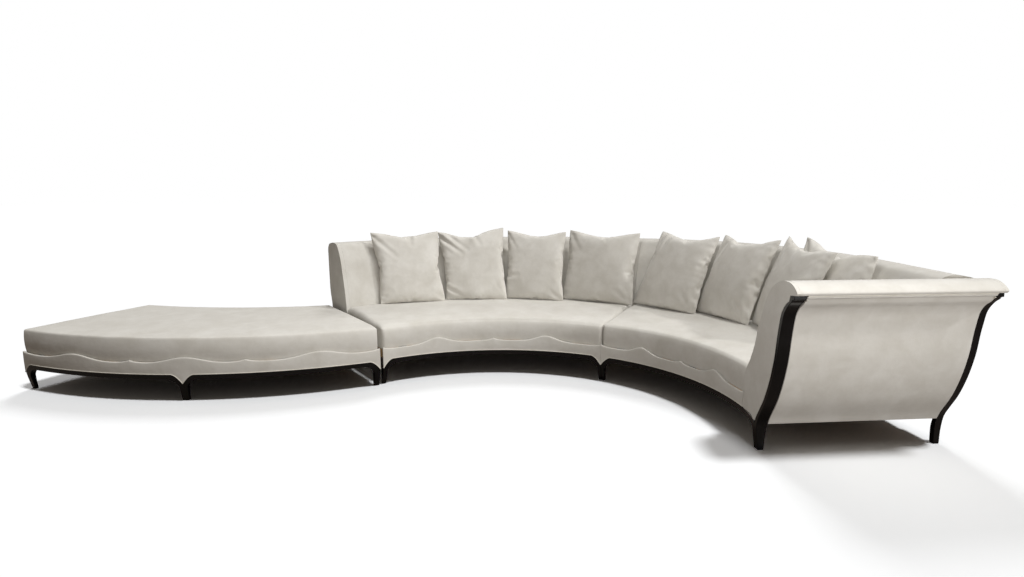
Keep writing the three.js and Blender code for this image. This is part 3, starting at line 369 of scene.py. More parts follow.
for (name, at, width, legs), depth in zip(MODULES, (CHAISE_DEPTH, *[REAR_FOOT_DEPTH - 0.0003] * 2)):
    places = [REAR_LEG_INSET] if name == "right" else [REAR_LEG_INSET, width - REAR_LEG_INSET]
    dress(rear_base(f"{name}_rear_rail", at, width, depth, places), lacquer, "lacquer",
          f"{name}_rear_base")


def end_rail():
    """A straight bar: a rectangle as wide as the base is deep and as tall as the rail."""
    depth = np.linspace(*END_RAIL_DEPTHS, 12)[:, None]
    s = np.array([END_GAP, BASE_DEEP, BASE_DEEP, END_GAP])
    z = np.array([RAIL_LOW, RAIL_LOW, RAIL_TOP, RAIL_TOP])
    return soften(sweep("chaise_end_rail", placed(chaise_at, s, depth, z)), REAR_EDGE)


dress(end_rail(), lacquer, "lacquer", "chaise_rail_end")

# Inside. Boxes of glued and screwed beech boards with plywood ribs, elastic webbing stapled
# across them, a black non-woven dust cover under each seat and two zinc-plated steel plates
# that lock the modules together. Little of it shows, so the solids themselves are dressed.


def beech(tree, place):
    """Planed beech: a warm pale ground with straight grain of about 8 mm and short dark flecks."""
    turned = add(tree, "Mapping", {"Vector": place, "Scale": (6, 120, 120)})
    grain = add(tree, "TexNoise", {"Vector": turned, "Scale": 1, "Detail": 5}, "Fac")
    colour = add(tree, "Mix", {0: grain, 6: linear("#b98f5f"), 7: linear("#d9bb8e")},
                 data_type="RGBA", out=2)
    bump = add(tree, "Bump", {"Height": grain, "Strength": 0.3, "Distance": 0.0003})
    return add(tree, "BsdfPrincipled", {
        "Base Color": colour, "Roughness": 0.6, "Normal": bump})


def woven_black(tree, place, thread, light, dark, rough):
    """A black woven or bonded textile: two crossed waves of the thread spacing give its texture."""
    spacing = 1 / thread / 6.28
    across = add(tree, "TexWave", {"Vector": place, "Scale": spacing, "Distortion": 1.5},
                 bands_direction="X", out="Fac")
    along = add(tree, "TexWave", {"Vector": place, "Scale": spacing, "Distortion": 1.5},
                bands_direction="Y", out="Fac")
    weave = add(tree, "Math", {0: across, 1: along}, operation="MULTIPLY")
    colour = add(tree, "Mix", {0: weave, 6: linear(dark), 7: linear(light)},
                 data_type="RGBA", out=2)
    bump = add(tree, "Bump", {"Height": weave, "Strength": 0.4, "Distance": 0.0004})
    return add(tree, "BsdfPrincipled", {
        "Base Color": colour, "Roughness": rough, "Normal": bump})


def zinc_plate(tree, place):
    """Zinc-plated sheet steel: a grey metal with a soft cloudy sheen."""
    cloud = add(tree, "TexNoise", {"Vector": place, "Scale": 60, "Detail": 3}, "Fac")
    rough = add(tree, "MapRange", {"Value": cloud, "To Min": 0.3, "To Max": 0.5})
    return add(tree, "BsdfPrincipled", {
        "Base Color": linear("#8e9195"), "Metallic": 1.0, "Roughness": rough})


inside = {
    "frame": material("planed beech", beech),
    "webbing": material("elastic webbing", woven_black, 0.004, "#3a3a3d", "#151517", 0.85),
    "dust_cover": material("non-woven dust cover", woven_black, 0.003, "#2a2a2c", "#121213", 0.95),
    "connector": material("zinc-plated steel", zinc_plate)}
for node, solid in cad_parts.items():
    for word, finish in inside.items():
        if node.endswith(word) or node.startswith(word):
            solid.data.materials.clear()
            solid.data.materials.append(finish)

# Aprons. A band of nubuck glued to a thin board in front of each frame. Its lower edge follows
# the base and comes to a point over each leg; its upper edge is cut in long waves with a small
# pointed cusp between them, turned over and sewn, so that it stands a little proud of the pad.
GAP = 0.0006
APRON_THICK = 0.010
APRON_LOW = 0.2515
WELT_THICK = 0.006
FRAME_TOP = 0.2483
HUMP_TALL = 0.039
HUMP_WIDE = 0.062
CUSP_TALL = 0.017
END_CUSP_TALL = 0.015
CUSP_WIDE = 0.02
SEAT_WAVES = ((0.25, 0.745), (0.505,))
CHAISE_WAVES = ((0.193, 0.505, 0.84), (0.36, 0.655))
# The band's section, from its low back edge up its face and over the turned edge: depth behind
# the face, share of the height, and drop below the upper edge.
APRON_SECTION = np.array([
    (0.010, 0, 0), (0, 0, 0), (0, 0.02, 0), (0, 0.15, 0), (0, 0.35, 0), (0, 0.55, 0), (0, 0.75, 0),
    (0, 0.9, 0), (0, 1, 0.0035), (0.0008, 1, 0.0012), (0.003, 1, 0), (0.009, 1, 0),
    (0.0135, 1, 0.0012), (0.010, 1, 0.0035)])


def wave(share, humps, cusps):
    """Height of the apron's upper edge: a low line, plus a bell for each hump and a two-sided
    exponential for each cusp and for each end."""
    bells = sum(np.exp(-(((share - centre) / HUMP_WIDE) ** 2)) for centre in humps)
    peaks = sum(np.exp(-np.abs(share - centre) / CUSP_WIDE) for centre in cusps)
    ends = np.exp(-share / CUSP_WIDE) + np.exp(-(1 - share) / CUSP_WIDE)
    return APRON_LOW + HUMP_TALL * bells + CUSP_TALL * peaks + END_CUSP_TALL * ends


def edge_places(width, legs, cusps):
    """Places along a module, 8 mm apart, with the points of the notches and cusps among them."""
    even = np.linspace(GAP, width - GAP, int(width / 0.008))
    fine = np.concatenate([leg + np.linspace(-NOTCH_WIDE, NOTCH_WIDE, 49) for leg in legs]
                          + [share * width + np.array([-0.004, -0.0015, 0, 0.0015, 0.004])
                             for share in cusps])
    places = np.unique(np.round(np.concatenate([even, fine]), 5))
    places = places[(places >= GAP) & (places <= width - GAP)]
    return places[np.concatenate([[True], np.diff(places) > 0.0004])]


def base_top(s, legs):
    """Height of the black base at s: the rail's top less the notches."""
    return RAIL_TOP - sum(notch(s - leg) for leg in legs)


def apron(name, at, width, legs, waves):
    """The band's section, stretched between its two edges; its face is a little full between
    them, by a half sine."""
    s = edge_places(width, legs, waves[1])
    low = base_top(s, legs) + WELT_THICK + GAP
    high = wave(s / width, *waves)
    behind, share, drop = APRON_SECTION.T
    z = low[:, None] + (high - low)[:, None] * share - drop
    full = 0.0015 * np.sin(np.pi * share) * (behind == 0)
    return sweep(name, placed(at, s[:, None], behind - BASE_PROUD - full, z), crease=60)


def nubuck(tree, place, dark, light, patch=8.5, strength=1.0):
    """Buffed calf nubuck: a matt, velvety pale grey-beige. Hand and brush turn the nap, which
    leaves cloudy patches 60 to 150 mm wide, with fine grain of about 1.5 mm and a soft sheen."""
    clouds = add(tree, "TexNoise", {
        "Vector": place, "Scale": patch, "Detail": 2, "Roughness": 0.4, "Distortion": 0.4}, "Fac")
    strokes = add(tree, "TexNoise", {
        "Vector": place, "Scale": 34, "Detail": 3, "Roughness": 0.6}, "Fac")
    grain = add(tree, "TexNoise", {
        "Vector": place, "Scale": 620, "Detail": 2, "Roughness": 0.6}, "Fac")
    nap = add(tree, "Math", {0: clouds, 1: 0.62}, operation="MULTIPLY")
    nap = add(tree, "Math", {0: strokes, 1: 0.26, 2: nap}, operation="MULTIPLY_ADD")
    nap = add(tree, "Math", {0: grain, 1: 0.12, 2: nap}, operation="MULTIPLY_ADD")
    tone = add(tree, "MapRange", {
        "Value": nap, "From Min": 0.30, "From Max": 0.70}, clamp=True)
    colour = add(tree, "Mix", {0: tone, 6: linear(dark), 7: linear(light)},
                 data_type="RGBA", out=2)
    rough = add(tree, "MapRange", {"Value": tone, "To Min": 0.82, "To Max": 0.95})
    soft = add(tree, "TexNoise", {
        "Vector": place, "Scale": 22, "Detail": 2, "Roughness": 0.5}, "Fac")
    dents = add(tree, "Bump", {"Height": soft, "Strength": 0.35 * strength, "Distance": 0.004})
    fine = add(tree, "Bump", {
        "Height": grain, "Strength": 0.35, "Distance": 0.0006, "Normal": dents})
    return add(tree, "BsdfPrincipled", {
        "Base Color": colour, "Roughness": rough, "IOR": 1.45, "Specular IOR Level": 0.25,
        "Sheen Weight": 0.25, "Sheen Roughness": 0.5, "Normal": fine})


seat_nubuck = material("buffed nubuck", nubuck, "#c2beb5", "#d1cec7")
for (name, at, width, legs), waves, solids in zip(MODULES, (CHAISE_WAVES, SEAT_WAVES, SEAT_WAVES),
                                                  ([], ["middle_apron"], ["right_apron"])):
    dress(apron(f"{name}_front_apron", at, width, legs, waves), seat_nubuck, "nubuck", *solids)


def chaise_skirt():
    """The band carries on round the open ends and the rear of the chaise at one height: a thin
    board between an outer line and the same line set in, with a rounded upper edge."""
    left, right = GAP, chaise_width - GAP
    ends = np.linspace(APRON_THICK - BASE_PROUD + 0.0004, CHAISE_DEPTH, 14)
    rear = np.linspace(left, right, 60)[1:-1]
    outer = np.concatenate([[(left, d) for d in ends], [(s, CHAISE_DEPTH) for s in rear],
                            [(right, d) for d in ends[::-1]]])
    inner = np.clip(outer, [APRON_THICK, -1],
                    [chaise_width - APRON_THICK, CHAISE_DEPTH - APRON_THICK])
    low, high = RAIL_TOP + WELT_THICK + GAP, FRAME_TOP + 0.002
    lines = [(inner, low), (outer, low), (outer, (low + high) / 2), (outer, high - 0.003),
             (outer * 0.8 + inner * 0.2, high - 0.0006), (inner, high)]
    s, d = np.stack([line for line, _ in lines], 1).transpose(2, 0, 1)
    z = np.array([height for _, height in lines])
    return sweep("chaise_side_apron", placed(chaise_at, s, d, z), crease=50)


dress(chaise_skirt(), seat_nubuck, "nubuck", "chaise_apron")

# Welts. A cord of about 6 mm covered in paler leather, sewn into the lower edge of each apron,
# so that it lies on the black base and turns round the point over each leg.
CORD_SIDES = 12


def cord_sweep(name, path, radius):
    """A tube round a path of points: at each point a circle stands square to the mean direction
    of the two stretches that meet there."""
    ahead = np.gradient(path, axis=0)
    ahead /= np.linalg.norm(ahead, axis=1)[:, None]
    side = np.cross(ahead, [0, 0, 1.0])
    side /= np.linalg.norm(side, axis=1)[:, None]
    lift = np.cross(side, ahead)
    turn = (2 * np.pi * np.arange(CORD_SIDES) / CORD_SIDES)[:, None]
    circle = np.cos(turn) * side[:, None] + np.sin(turn) * lift[:, None]
    return sweep(name, path[:, None] + radius * circle, crease=70)


def base_welt(name, at, width, legs):
    """The welt's middle line: half its thickness above the base, just proud of the apron."""
    s = edge_places(width, legs, ())
    z = base_top(s, legs) + WELT_THICK / 2 + 0.0003
    return cord_sweep(name, placed(at, s, 0.0005 - BASE_PROUD, z), WELT_THICK / 2)


pale_leather = material("covered welt", nubuck, "#c9c4b8", "#dad6cb", 14, 0.2)
for module in MODULES:
    dress(base_welt(f"{module[0]}_welt", *module[1:]), pale_leather, "piping",
          f"{module[0]}_apron_welt")

# Seat pads. Moulded foam with a fibre wrap under nubuck pulled tight: a crowned top, rounded
# edges that are crisp at the free end of the chaise and fuller towards the joint, and sides that
# draw in between the corners.
SEAT_HEIGHT = 0.412
SEAT_CROWN = 0.013
SEAT_REAR_RISE = 0.026
UNDER_BACK = SEAT_DEPTH + 0.02
PAD_LOW = 0.2509
REAR_RISE_FROM = 0.15
REAR_RISE_LONG = 0.3
FRONT_FALL_LONG = 0.11
SIDE_BULGE = 0.0085
SIDE_DRAW = 0.006
UNEVEN_TOP = 0.0012
UNEVEN_FRONT = 0.0008


def box_sides(us, vs, ws):
    """The six sides of a box as grids over its three rows of stations, and their quads."""
    points, faces, first = [], [], 0
    rows = (us, vs, ws)
    for axis in range(3):
        a, b = [rows[k] for k in range(3) if k != axis]
        grid_a, grid_b = np.meshgrid(a, b, indexing="ij")
        for end in (0, -1):
            parts = [grid_a, grid_b]
            parts.insert(axis, np.full_like(grid_a, rows[axis][end]))
            index = first + np.arange(grid_a.size).reshape(grid_a.shape)
            faces.append(np.stack([index[:-1, :-1], index[1:, :-1], index[1:, 1:], index[:-1, 1:]],
                                  -1).reshape(-1, 4))
            points.append(np.stack(parts, -1).reshape(-1, 3))
            first += grid_a.size
    return np.concatenate(points), np.concatenate(faces)


def stations(low, high, edge, count):
    """Stations along one side of a pad: five across each rounded edge, even ones between."""
    rim = edge * (1 - np.cos(np.linspace(0, np.pi / 2, 6)))[:-1]
    even = np.linspace(low + edge, high - edge, count)
    return np.concatenate([low + rim, even, high - rim[::-1]])


def ripple(x, y, seed):
    """A gentle unevenness between -1 and 1: the mean of six plane sine waves of 0.15 to 0.5 m,
    whose directions and phases come from the seed."""
    draw = np.random.default_rng(seed)
    total = 0
    for _ in range(6):
        heading, length = draw.uniform(0, np.pi), draw.uniform(0.15, 0.5)
        phase = draw.uniform(0, 6.28)
        run = x * np.cos(heading) + y * np.sin(heading)
        total = total + np.sin(2 * np.pi * run / length + phase)
    return total / 6


def seat_pad(name, at, start, end, depth, edge, full, seed):
    """Each point of a box goes to the nearest point of a core smaller by the edge radius, and out
    from there by that radius. The top is raised by a crown that is the root of a sine along the
    pad and a sine across it, rises to the rear under a back, and sinks at its front edge by the
    fullness, a function of the share. The front bulges by a half sine, less so at mid-length."""
    points, faces = box_sides(stations(start, end, edge, int((end - start) / 0.02)),
                              stations(0, depth, edge, 40), stations(PAD_LOW, SEAT_HEIGHT, edge, 6))
    low = np.array([start, 0, PAD_LOW - edge])
    high = np.array([end, depth, SEAT_HEIGHT])
    core = np.clip(points, low + edge, high - edge)
    out = points - core
    length = np.linalg.norm(out, axis=1)[:, None]
    points = core + np.where(length > 0, out / np.maximum(length, 1e-9) * edge, 0)
    s, d, z = points.T
    share = (s - start) / (end - start)
    level = held((z - PAD_LOW) / (SEAT_HEIGHT - PAD_LOW))
    swell = np.sqrt(held(np.sin(np.pi * share))) * np.sin(np.pi * held(d / depth))
    top = held((level - 0.8) * 5)
    z = z + SEAT_CROWN * top * swell - full(share) * held(1 - d / FRONT_FALL_LONG) ** 2 * top
    if depth == UNDER_BACK:
        z = z + SEAT_REAR_RISE * top * held((d - REAR_RISE_FROM) / REAR_RISE_LONG)
    bulge = SIDE_BULGE * np.sin(np.pi * level) - SIDE_DRAW * np.sin(np.pi * share) * level
    front = held(1 - d / edge)
    d = d - (bulge - 0.6 * full(share) * level ** 3) * front
    z = z + UNEVEN_TOP * ripple(s, d, seed) * top * held(d / 0.1)
    d = d + UNEVEN_FRONT * ripple(s, 3 * z, seed + 1) * front
    return shell(name, placed(at, s, d, z), faces, crease=60)


def add_pad(piece, fill, *nodes):
    """A pad is dressed in the seat nubuck like any piece. The fill is not used."""
    dress(piece, seat_nubuck, "nubuck", *nodes)


add_pad(seat_pad("chaise_seat", chaise_at, END_GAP, chaise_width - 0.006, CHAISE_DEPTH - 0.002,
                 0.013, lambda share: 0.010 * held(share * 1.6 - 0.5), 11), 0.95, "chaise_seat_pad")
add_pad(seat_pad("middle_seat", middle_at, 0.006, middle_width - 0.002, UNDER_BACK, 0.026,
                 lambda share: 0.016 + 0 * share, 12), 0.95, "middle_seat_pad")
add_pad(seat_pad("right_seat", right_at, 0.002, right_width + 0.001, UNDER_BACK, 0.022,
                 lambda share: 0.006 + 0 * share, 13), 0.95, "right_seat_pad")

# Backs. A foam-wrapped shell over plywood ribs, upright in front, rounded over the top and
# flaring down to a seam at the rear; below the seam the outside back is stretched flat. Each
# free end is closed by an upholstered end panel.
BACK_HEIGHT = 0.914
BACK_SHOULDER = 0.861
BACK_LEAN = 0.123
BACK_TOP_THICK = 0.230
REAR_SEAM = 0.800
REAR_FLARE = 0.047
PAD_WALL = 0.032
END_WALL = 0.020
FRONT_SHARES = [[0, -0.065], [0.02, 0.03], [0.11, 0.22], [0.27, 0.42], [0.5, 0.655], [0.73, 0.87]]
TOP_SHARES = [[0, 0], [0.11, 0.68], [0.33, 1], [0.66, 0.92], [0.9, 0.6], [0.985, 0.1]]
REAR_SHARES = [[0, 0.19], [0.18, 0.419], [0.21, 0.455], [0.77, 0.558], [0.96, 0.7], [1, 0.85]]
middle_rise = three_point(0, 0.008, 0.018)
right_rise = three_point(0.018, 0.028, 0.008)


def smooth_line(points, count):
    """A curve through the points, cubic between each two, whose slope at a point is that of its
    neighbours; its places are even along the length."""
    points = np.asarray(points, float)
    length = np.concatenate([[0], np.cumsum(np.linalg.norm(np.diff(points, axis=0), axis=1))])
    slope = np.gradient(points, length, axis=0)
    place = np.linspace(0, length[-1], count)
    i = np.clip(np.searchsorted(length, place, side="right") - 1, 0, len(length) - 2)
    gap = (length[i + 1] - length[i])[:, None]
    u = ((place - length[i])[:, None]) / gap
    return ((1 + 2 * u) * (1 - u) ** 2 * points[i] + u * (1 - u) ** 2 * gap * slope[i]
            + u * u * (3 - 2 * u) * points[i + 1] - u * u * (1 - u) * gap * slope[i + 1])


def aside(line, distance):
    """The line moved sideways by the distance, to the left of its direction."""
    ahead = np.gradient(line, axis=0)
    ahead /= np.linalg.norm(ahead, axis=1)[:, None]
    return line + distance * np.stack([-ahead[:, 1], ahead[:, 0]], -1)


def back_line():
    """The back's section as [depth, height] from the seat over the top to the rear seam."""
    points = [[SEAT_DEPTH, 0.262]]
    points += [[SEAT_DEPTH + d * BACK_LEAN, SEAT_HEIGHT + z * (BACK_SHOULDER - SEAT_HEIGHT)]
               for d, z in FRONT_SHARES]
    points += [[SEAT_DEPTH + BACK_LEAN + d * BACK_TOP_THICK,
                BACK_SHOULDER + z * (BACK_HEIGHT - BACK_SHOULDER)] for d, z in TOP_SHARES]
    points.append([REAR_FOOT_DEPTH + REAR_FLARE, REAR_SEAM + 0.0004])
    return smooth_line(points, 72)


def rear_line():
    """The outside back's section from the rear seam down to the base."""
    points = [[REAR_FOOT_DEPTH + d * REAR_FLARE, z * BACK_HEIGHT] for d, z in REAR_SHARES]
    line = smooth_line(points, 60)[::-1]
    keep = line[(line[:, 1] < REAR_SEAM - 0.002) & (line[:, 1] > 0.182)]
    return np.concatenate([[[REAR_FOOT_DEPTH + REAR_FLARE, REAR_SEAM - 0.0004]], keep,
                           [[REAR_FOOT_DEPTH, 0.1786]]])


def raised(z, share, rise):
    """The back rises with its height above the seat."""
    return z + held((z - SEAT_HEIGHT) / (BACK_HEIGHT - SEAT_HEIGHT)) * rise(share)


def walled(line, wall):
    """A ring of the line and the same line set in by a wall."""
    return np.concatenate([line, aside(line, -wall)[::-1]])


def back(name, at, rise, width, start, end, section, meet):
    """The section of [depth, height] points is carried along the module. Where a function is
    given, the last thirteenth is drawn over to it as the power 1.5 of the way."""
    s = np.linspace(start, end, 64)[:, None]
    rings = placed(at, s, section[:, 0], raised(section[:, 1], s / width, rise))
    if meet is not None:
        draw = held((s / width - 12 / 13) * 13) ** 1.5
        rings = rings + (meet(rings[-1], section) - rings[-1]) * draw[:, None]
    return sweep(name, rings, crease=50)


ARM_ALONG = direction(3.3)
ARM_FOOT_OUT = 0.160
ARM_HEIGHT = 0.921
ROLL_START = -0.150
ROLL_WIDE = 0.440
ARM_INNER = [[0, 0.416], [0.1, 0.503], [0.19, 0.607], [0.236, 0.7025], [0.289, 0.769],
             [0.395, 0.886], [0.51, 0.954], [0.63, 0.985], [0.775, 1], [0.873, 0.994],
             [0.96, 0.972], [1, 0.951], [0.98, 0.94]]


def arm_at(s, o):
    """Plan of the arm: s runs back along it and o outwards from the foot of its front post."""
    reach, out = RIGHT_RADIUS + s, ARM_FOOT_OUT + o
    return (RIGHT_CENTRE[0] + reach * ARM_ALONG[0] + out * ARM_ALONG[1],
            RIGHT_CENTRE[1] + reach * ARM_ALONG[1] - out * ARM_ALONG[0])


def arm_line(count=90):
    """The arm's section as [outwards, height], from the seat over the roll to its outer rim."""
    rising = [[ROLL_START + o * ROLL_WIDE, z * ARM_HEIGHT] for o, z in ARM_INNER]
    return smooth_line([[ROLL_START, 0.262], *rising], count)


def meet_arm(ring, section):
    """The end of the right back lies along the inner face of the arm, 6 mm clear of it."""
    rising = arm_line()
    rising = rising[:np.argmax(rising[:, 1]) - 8]
    reach = section[:, 0] + 0.040 * held(section[:, 0] / SEAT_DEPTH)
    out = np.interp(ring[:, 2], rising[:, 1], rising[:, 0]) - 0.006
    out = np.maximum(out, 0.0003 - ARM_FOOT_OUT)
    return placed(arm_at, reach, out, ring[:, 2])


pad_section = walled(back_line(), PAD_WALL)
outside_section = walled(rear_line(), PAD_WALL)
for name, at, rise, width, start, end, meet, solids in (
        ("middle", middle_at, middle_rise, middle_width, END_WALL, middle_width - GAP, None,
         ("middle_back_pad", "middle_end_panel_right")),
        ("right", right_at, right_rise, right_width, GAP, right_width, meet_arm,
         ("right_back_pad", "right_end_panel"))):
    add_pad(back(f"{name}_back", at, rise, width, start, end, pad_section, meet), 0.9, *solids)
    dress(back(f"{name}_rear", at, rise, width, start, end, outside_section, meet), seat_nubuck,
          "nubuck", f"{name}_outside_back")


def end_panel():
    """The panel fills the back's section between its front line and its rear line, level by
    level, and the foot of the seat box below it."""
    front, rear = back_line(), rear_line()[::-1]
    crest = np.argmax(front[:, 1])
    behind = np.concatenate([rear, front[:crest:-1]])
    z = np.concatenate([np.linspace(0.1786, 0.2615, 5), np.linspace(0.263, 0.86, 40),
                        front[crest, 1] - 0.054 * (1 - np.sin(np.linspace(0, np.pi / 2, 14)))])
    z = np.unique(np.clip(z, None, front[crest, 1] - 0.0002))
    near = np.interp(z, front[:crest + 1, 1], front[:crest + 1, 0])
    far = np.interp(z, behind[:, 1], behind[:, 0])
    share = np.concatenate([[0, 0.012], np.linspace(0.04, 0.96, 12), [0.988, 1]])
    d, level = between(np.stack([near, z], -1), np.stack([far, z], -1), share)
    level = raised(level, 0, middle_rise)
    return plank("middle_end", placed(middle_at, GAP, d, level),
                 placed(middle_at, END_WALL - 0.0004, d, level), 0.006, 4)


dress(end_panel(), seat_nubuck, "nubuck", "middle_end_panel_left")

# Scroll arm. A foam roll over ribs, with flat upholstered ends and an outer side set back
# between two bent posts of black lacquered beech that sweep up and out under the roll.
ARM_FRONT = -BASE_PROUD
ARM_REAR = 1.005
POST_DEEP = 0.060
REAR_POST_DEEP = 0.040
POST_FOOT_DEEP = 0.032
POST_THICK = 0.025
POST_HEIGHT = 0.8528
CAP_OUT = 0.268
CAP_RISE = 0.0095
FRONT_FOOT = ARM_FRONT + 0.018
FRONT_FOOT_THICK = 0.044
REAR_FOOT = ARM_REAR - 0.036
REAR_FOOT_THICK = 0.032
SIDE_START = ARM_FRONT + POST_DEEP + GAP
SIDE_END = ARM_REAR - REAR_POST_DEEP - 0.0014
PANEL_THICK = 0.018
PANEL_INNER = 0.0012 - ARM_FOOT_OUT
POST_REACH = 0.280
POST_OUTER = [[0.005, 0], [0, 0.108], [0.036, 0.189], [0.14, 0.255], [0.28, 0.336], [0.436, 0.465],
              [0.546, 0.607], [0.625, 0.804], [0.7, 0.906], [0.84, 0.9625], [0.97, 0.99]]


def post_line(count=80):
    """The outer line of a post as [outwards, height], from the foot to the crest."""
    return smooth_line([[o * POST_REACH, z * POST_HEIGHT] for o, z in POST_OUTER], count)


def along_arm(name, ring, start, end, steps):
    """A ring of [outwards, height] points carried straight back along the arm."""
    s = np.linspace(start, end, steps)[:, None]
    return sweep(name, placed(arm_at, s, ring[:, 0], ring[:, 1]), 50)


add_pad(along_arm("arm_roll", walled(arm_line(), 0.030), ARM_FRONT + PANEL_THICK + GAP,
                  ARM_REAR - PANEL_THICK - GAP, 40), 0.9, "arm_pad")

outer_line = post_line()
outer_line = outer_line[(outer_line[:, 1] > 0.146) & (outer_line[:, 1] < 0.836)]
outer_line = smooth_line(np.concatenate([outer_line[::4], [[0.262, 0.853], [0.279, 0.862]]]), 60)
dress(along_arm("arm_outside", walled(outer_line - [0.006, 0], 0.009), SIDE_START, SIDE_END, 30),
      seat_nubuck, "nubuck", "arm_outer_panel")


def arm_end(name, start, end):
    """An end of the arm, filled level by level between its inner line and the post, and above
    the post out to the rim of the roll. Below the seat box it narrows towards the post."""
    roll, post = arm_line(200), post_line(200)
    crest = np.argmax(roll[:, 1])
    z = np.concatenate([np.linspace(0.158, 0.26, 14), np.linspace(0.266, 0.862, 60),
                        roll[crest, 1] - 0.0555 * (1 - np.sin(np.linspace(0, np.pi / 2, 18)))])
    z = np.unique(np.clip(z, None, roll[crest, 1] - 0.0012))
    low = RAIL_TOP + 0.001
    near = np.interp(z, roll[:crest + 1, 1], roll[:crest + 1, 0])
    near = np.where(z < 0.262, PANEL_INNER, near)
    near = np.where(z < low, np.interp(z, [0.157, low], [-0.0275, PANEL_INNER]), near)
    rim = np.interp(z, roll[crest:][::-1, 1], roll[crest:][::-1, 0])
    inside = np.interp(z, post[:, 1], post[:, 0]) - POST_THICK - 0.0012
    far = np.where(z < POST_HEIGHT + 0.011, inside, rim)
    o, level = between(np.stack([near, z], -1), np.stack([far, z], -1), np.linspace(0, 1, 12))
    return plank(name, placed(arm_at, start, o, level), placed(arm_at, end, o, level), 0.003)


dress(arm_end("arm_front_end", ARM_FRONT, ARM_FRONT + PANEL_THICK), seat_nubuck, "nubuck",
      "arm_front_panel")
dress(arm_end("arm_rear_end", ARM_REAR - PANEL_THICK, ARM_REAR), seat_nubuck, "nubuck",
      "arm_rear_panel")


def arm_post(name, start, end, foot, foot_thick):
    """A bent plank between its outer line and the same line set in by its thickness, from the
    foot to a flat cap under the roll. Below the rail it grows thicker and less deep."""
    outer = post_line(70)
    outer = np.concatenate([outer[outer[:, 1] < POST_HEIGHT - 0.018],
                            [[0.256, POST_HEIGHT - 0.011], [CAP_OUT, POST_HEIGHT - 0.009]]])
    low = 1 - held((outer[:, 1] - LEG_BEND_TALL) / (RAIL_LOW - LEG_BEND_TALL))
    inner = outer.copy()
    inner[:, 0] -= POST_THICK + (foot_thick - POST_THICK) * low ** 2 * (3 - 2 * low)
    inner[inner[:, 1] > POST_HEIGHT - 0.020, 1] = POST_HEIGHT + CAP_RISE
    inner[-1] = [CAP_OUT, POST_HEIGHT + CAP_RISE]
    o, z = between(inner, outer, np.linspace(0, 1, 4))
    return plank(name, placed(arm_at, thinner(foot, start, z), o, z),
                 placed(arm_at, thinner(foot + POST_FOOT_DEEP, end, z), o, z), 0.003)


dress(arm_post("arm_post_front", ARM_FRONT - 0.0005, ARM_FRONT + POST_DEEP, FRONT_FOOT,
               FRONT_FOOT_THICK), lacquer, "lacquer", "arm_front_post")
dress(arm_post("arm_post_rear", ARM_REAR - REAR_POST_DEEP, ARM_REAR + 0.0005, REAR_FOOT,
               REAR_FOOT_THICK), lacquer, "lacquer", "arm_rear_post")


def arm_wing():
    """The wing from the front post to the rail: the post's foot on one side, a soft quarter
    ellipse under it and the notch above it."""
    lines = []
    for line, height in zip(half_leg(FRONT_FOOT_THICK - LEG_HALF), (RAIL_LOW, RAIL_TOP)):
        line = line[3:] * [-1, 1]
        line[:, 0] = np.minimum(line[:, 0], 0.002 - POST_THICK)
        lines.append(np.concatenate([line, [[0.0005 - ARM_FOOT_OUT, height]]]))
    o, z = between(*lines, np.linspace(0, 1, 6))
    start = thinner(FRONT_FOOT, ARM_FRONT, z)
    return plank("arm_wing_front", placed(arm_at, start, o, z),
                 placed(arm_at, start + thinner(LEG_FOOT_DEEP, BASE_DEEP, z), o, z), BASE_EDGE)


dress(arm_wing(), lacquer, "lacquer")

# Piping. A thin cord covered in the leather of the welts is sewn in under the rim of the roll,
# and beside both posts where the outer panel meets them.
CORD_RADIUS = 0.003


def arm_cord(name, s, outwards, height, *solids):
    """A cord through places along the arm, outwards from it and up."""
    path = placed(arm_at, s, outwards, height)
    dress(cord_sweep(name, path, CORD_RADIUS), pale_leather, "piping", *solids)


rim_out, rim_height = arm_line()[-1] - CORD_RADIUS
arm_cord("arm_rim_cord", np.linspace(SIDE_START, SIDE_END, 12), rim_out, rim_height, "arm_piping")
side_line = post_line()
side_line = side_line[(side_line[:, 1] > 0.17) & (side_line[:, 1] < 0.846)]
for name, place in (("front", ARM_FRONT + POST_DEEP + 0.0035),
                    ("rear", ARM_REAR - REAR_POST_DEEP - 0.0045)):
    arm_cord(f"arm_{name}_cord", place, side_line[:, 0] - 0.002, side_line[:, 1])

# Loose pillows. Square nubuck covers, sewn along a thin edge and filled with feather and fibre:
# they puff up, draw in at the sides and wrinkle along the seams. A hand has pressed a dent into
# the top of each, and soft folds run out from the pulled corners.
PILLOW_WIDE = 0.535
PILLOW_TALL = 0.570
PILLOW_FRONT = 0.075
PILLOW_REAR = 0.042
CUT_WIDE = 0.570
CUT_TALL = 0.610
FOLD_STEPS_PER_METRE = 750
FOLD_WIDE = 0.055
GATHER_DEEP = 0.0055
GATHER_WIDE = 0.16
CELLS = 52
FILL_STEPS = 16
FABRIC = {"quality": 5, "mass": 0.25, "tension_stiffness": 40, "compression_stiffness": 40,
          "shear_stiffness": 5, "bending_stiffness": 0.02, "tension_damping": 8,
          "compression_damping": 8, "shear_damping": 8, "bending_damping": 1, "air_damping": 2,
          "use_pressure": True, "uniform_pressure_force": 2.2}
